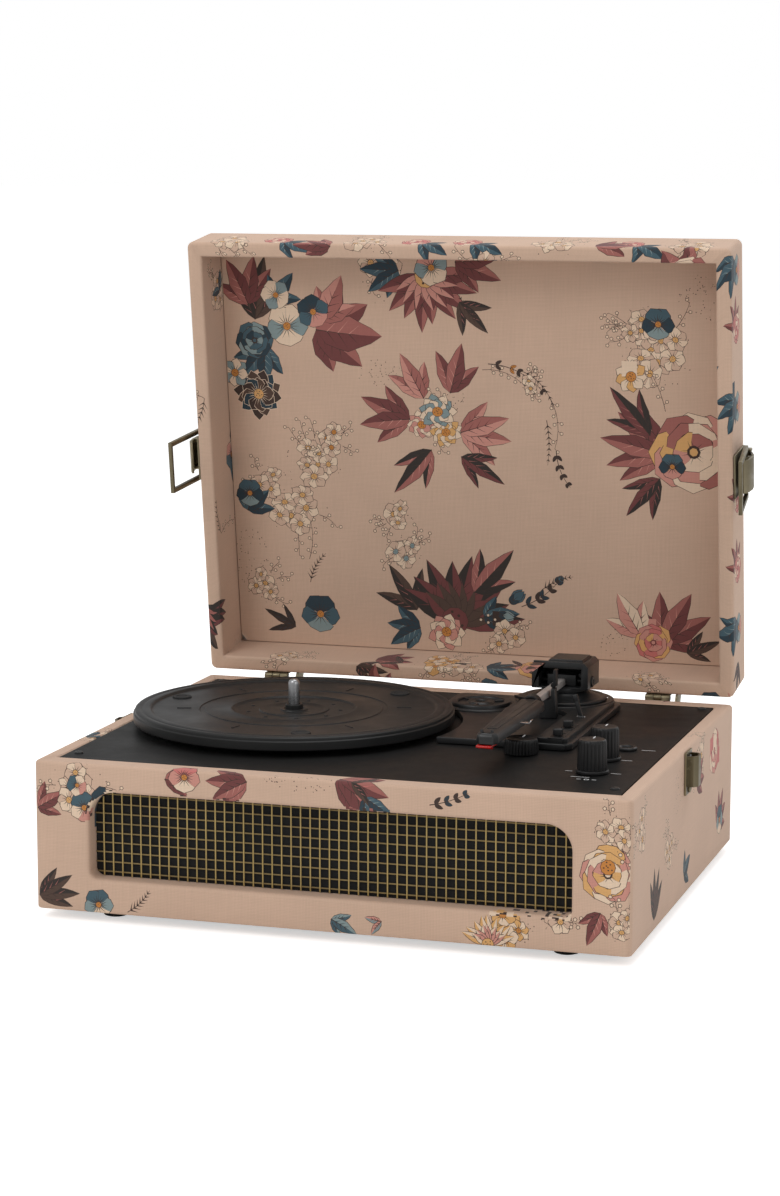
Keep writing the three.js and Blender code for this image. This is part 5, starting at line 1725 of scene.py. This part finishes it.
def make_arm_beam():
    low, high = node_box("arm_tube")
    y0, y1 = low.y - CENTRE_Y - ARM.y, high.y - CENTRE_Y - ARM.y
    collar = y0 + 8
    # a flattened tube with rounded edges, and a ribbed collar at the head
    section = fillet(rectangle(-2.5, 2.5, -2.2, 2.2), 0.85, 4)
    piece("arm_beam_tube", at_arm(prism(section, collar - 1, y1, "Y", 0.15, 1)), ARM_METAL, "arm_beam",
          ("arm_tube",))
    outline = [(0, y0), (4.6, y0), (5.3, y0 + 0.5)]
    for i in range(4):
        y = y0 + 0.6 + i * 1.75
        outline += [(5.4, y), (5.4, y + 1.0), (4.7, y + 1.25), (4.7, y + 1.5)]
    outline += [(5.2, collar - 0.5), (4.7, collar), (0, collar)]
    piece("arm_collar", at_arm(lathe(outline, 0, 0, 56, "Y")), KNOB, "arm_beam")
    refined("arm_carrier", "arm_carrier_block", MOULDED, "arm_beam", 0.4)
    make_headshell()


def make_headshell():
    low, high = node_box("headshell")
    back, front = high.y - CENTRE_Y - ARM.y, low.y - CENTRE_Y - ARM.y
    top, bottom = 3.4, -3.2
    outline = [(-7.4, back), (8.9, back), (9.4, back - 24), (8.4, front + 4), (6.4, front), (-1.9, front),
               (-4.4, front + 4), (-8.4, back - 30)]
    outline = fillet(outline, (1.2, 1.2, 8, 2, 1.2, 1.2, 2, 8), 4)
    mesh = bmesh.new()
    rings = []
    for inset, z in ((0.25, bottom + 0.2), (0.0, bottom + 0.5), (0.0, 0.9), (0.35, 2.0), (1.1, 2.9),
                     (2.3, top)):
        ring = []
        for (x, y), (nx, ny) in zip(outline, outward(outline[::-1])[::-1]):
            ring.append(mesh.verts.new((x - nx * inset, y - ny * inset, z)))
        rings.append(ring)
    stitch(mesh, rings)
    mesh.faces.new(rings[-1])
    under = [mesh.verts.new((v.co.x * 0.72 + 0.2, v.co.y * 0.94 - 6, bottom + 0.2)) for v in rings[0]]
    roof = [mesh.verts.new((v.co.x, v.co.y, 0.5)) for v in under]
    stitch(mesh, (rings[0], under, roof))
    mesh.faces.new(roof[::-1])
    bmesh.ops.recalc_face_normals(mesh, faces=mesh.faces)
    posts = [lathe([(0, 2.2), (1.0, 2.2), (1.0, 4.4), (0.8, 4.8), (0, 4.9)], x, front + 5.0, 24)
             for x in (-1.6, 4.6)]
    ridge = prism(fillet([(-4.6, back - 3), (5.6, back - 3), (4.8, front + 14), (-1.2, front + 14)], 1.0),
                  top - 0.3, top + 0.45, edge=0.3, segments=2)
    slot_line = block(-0.4, 1.6, front + 18, back - 12, top + 0.3, top + 0.62, 0.1, 1)
    piece("headshell_cover", at_arm(merged(mesh, ridge, slot_line, *posts)), MOULDED, "arm_beam",
          ("headshell",))
    refined("cartridge", "cartridge_body", KNOB, "arm_beam", 0.35)
    refined("stylus", "stylus_holder", RED, "arm_beam", 0.3)
    finger = node_box("finger_lift")
    x0, x1 = finger[0].x - ARM.x, finger[1].x - ARM.x
    y0, y1 = (p.y - CENTRE_Y - ARM.y for p in finger)
    side = [(x0, 0.6), (x1 - 2.2, 0.6), (x1 - 0.7, 1.2), (x1, 2.9), (x1 - 0.9, 3.0), (x1 - 1.4, 1.9),
            (x1 - 2.6, 1.5), (x0, 1.5)]
    blade = prism(fillet(side, 0.35, 3), y0, y1, "Y", 0.2, 2)
    piece("finger_blade", at_arm(blade), CHROME, "arm_beam", ("finger_lift",))


def make_arm_support():
    refined("arm_rest", "arm_rest_post", MOULDED, "base", 0.5)
    refined("rest_clip", "rest_clip_arm", KNOB, "clip", 0.3)
    refined("cue_platform", "cue_platform_arc", KNOB, "cue_lift", 0.25)
    foot = pivot_of("cue_lever_turn")
    lean = Matrix.Rotation(-0.36, 4, "Y") @ Matrix.Rotation(-0.2, 4, "X")
    tilt = Matrix.Translation((foot.x, foot.y, foot.z + 0.6)) @ lean
    stick = prism(fillet(rectangle(-1.25, 1.25, -1.25, 1.25), 0.45), 0, 13.6, edge=0.4, segments=2)
    grip = prism(fillet(rectangle(-1.6, 1.6, -1.3, 1.3), 0.5), 9.6, 14.0, edge=0.4, segments=2)
    barrel = lathe([(0, -2.1), (1.4, -2.1), (1.7, -1.8), (1.7, 1.8), (1.4, 2.1), (0, 2.1)], 0, 0, 32)
    mesh = merged(moved(merged(stick, grip), tilt), placed(barrel, foot, 90, "Y"))
    piece("cue_handle", mesh, KNOB, "cue_arm", ("cue_lever",))
    pin = lathe([(0, -2.6), (0.75, -2.6), (0.9, -2.4), (0.9, 2.4), (0.75, 2.6), (0, 2.6)], 0, 0, 24)
    piece("cue_pin", placed(pin, foot, 90, "Y"), CHROME, "cue_arm")


# ---------------------------------------------------------------- bronze fittings and handle

def make_hardware():
    for side in ("left", "right"):
        refined(f"hinge_base_{side}", f"hinge_leaf_base_{side}", BRONZE, "base", 0.3)
        refined(f"hinge_lid_{side}", f"hinge_leaf_lid_{side}", BRONZE, "lid", 0.3)
        refined(f"latch_plate_{side}", f"latch_back_{side}", BRONZE, "lid", 0.3)
        refined(f"latch_lever_{side}", f"latch_cover_{side}", BRONZE, f"{side}_lever", 0.45)
        refined(f"latch_loop_{side}", f"latch_bail_{side}", BRONZE, f"{side}_loop", 0.4)
        refined(f"catch_{side}", f"catch_hook_{side}", BRONZE, "base", 0.3)
        refined(f"handle_mount_{side}", f"handle_lug_{side}", BRONZE, "base", 0.35)
    make_hardware_screws()
    make_handle()


def small_screw(r=1.7):
    """A countersunk screw head that points along +Z, with a slot."""
    head = lathe([(0, -0.4), (r, -0.4), (r, 0.1), (r * 0.8, 0.42), (r * 0.4, 0.55), (0, 0.58)], 0, 0, 20)
    return merged(head, block(-r * 0.7, r * 0.7, -0.16, 0.16, 0.45, 0.62, 0.04, 1))


def make_hardware_screws():
    """Screw heads on the hinge leaves, the handle's mounts and the catches."""
    def screws(name, body, places, turn, axis, r=1.7, lid=False):
        heads = [placed(small_screw(r), place, turn, axis) for place in places]
        piece(name, merged(*heads), STEEL, body, lid=lid)

    z = pivot_of("lid_hinge").z
    for side, sign in (("left", -1), ("right", 1)):
        x = centre_of(f"hinge_pin_{side}").x
        screws(f"hinge_screws_base_{side}", "base",
               [(x + dx, HALF_D + 1.5, z - dz) for dz in (10, 18.5) for dx in (-4.8, 4.8)], -90, "X")
        screws(f"hinge_screws_lid_{side}", "lid",
               [(x + dx, HALF_D + 1.5, z + dz) for dz in (8, 16) for dx in (-4.8, 4.8)], -90, "X", lid=True)
        mount = centre_of(f"handle_mount_{side}")
        screws(f"handle_screws_{side}", "base",
               [(mount.x + dx, HALF_D + 1.6, mount.z + dz) for dz in (6, -6) for dx in (-6, 6)], -90, "X")
        screws(f"catch_screws_{side}", "base",
               [(sign * (HALF_W + 1.4), dy, RIM_Z - 5) for dy in (-3.6, 3.6)], sign * 90, "Y", 1.3)


GRIP_HALF = 36
GRIP_DROP = 30
GRIP_THICK, GRIP_TALL = 4.4, 5.9
GRIP_RIBS = 7
LEG_INNER, LEG_OUTER = 40, 46


def make_handle():
    """A swelling, ribbed grip between two legs, on a pin at the top of each."""
    _, y, z = pivot_of("handle_swing")
    middle_y, middle_z = y + 0.5, z - GRIP_DROP
    grip = bmesh.new()
    rings = []
    steps, round_steps = 36, 20
    for i in range(steps + 1):
        x = -GRIP_HALF + 2 * GRIP_HALF * i / steps
        f = abs(x) / GRIP_HALF
        swell = 1 - 0.16 * f ** 2 if f < 0.97 else 0.7
        ring = []
        for k in range(round_steps):
            c, s = math.cos(TAU * k / round_steps), math.sin(TAU * k / round_steps)
            ring.append(grip.verts.new((x, middle_y + math.copysign(abs(c) ** 0.7, c) * GRIP_THICK * swell,
                                        middle_z + math.copysign(abs(s) ** 0.7, s) * GRIP_TALL * swell)))
        rings.append(ring)
    stitch(grip, rings)
    grip.faces.new(rings[0][::-1])
    grip.faces.new(rings[-1])
    bmesh.ops.recalc_face_normals(grip, faces=grip.faces)
    parts = [grip]
    flat = Matrix.Diagonal((1, 0.78, 1.0, 1)) @ Matrix.Rotation(math.pi / 2, 4, "Y")
    for i in range(-GRIP_RIBS, GRIP_RIBS + 1):
        rib = lathe([(5.55, -0.35), (5.95, -0.2), (5.95, 0.2), (5.55, 0.35)], 0, 0, 40, ring=True)
        parts.append(moved(rib, Matrix.Translation((i * 4.4, middle_y, middle_z)) @ flat))
    for s in (-1, 1):
        leg = fillet(rectangle(s * LEG_INNER, s * LEG_OUTER, z + 4, z - 33), 1.6)
        parts.append(prism(leg, y - 2.6, y + 2.6, "Y", 0.8, 3))
        pin = lathe([(0, -6), (2.2, -6), (2.2, 6), (0, 6)], 0, 0, 32)
        parts.append(placed(pin, (s * 47, y, z), 90, "Y"))
    bar = lathe([(0, -45), (3, -45), (3, 45), (0, 45)], 0, 0, 32)
    placed(bar, (0, y + 0.3, middle_z), 90, "Y")
    piece("handle_moulding", merged(*parts, bar), RUBBER, "handle", ("handle_grip",))


# ---------------------------------------------------------------- build

make_camera()
make_studio()
make_base_cover()
make_lid_cover()
make_lining()
make_plate()
make_deck()
make_grille()
make_fittings()
make_platter()
make_controls()
make_adapter()
make_arm_base()
make_arm_housing()
make_arm_beam()
make_arm_support()
make_hardware()
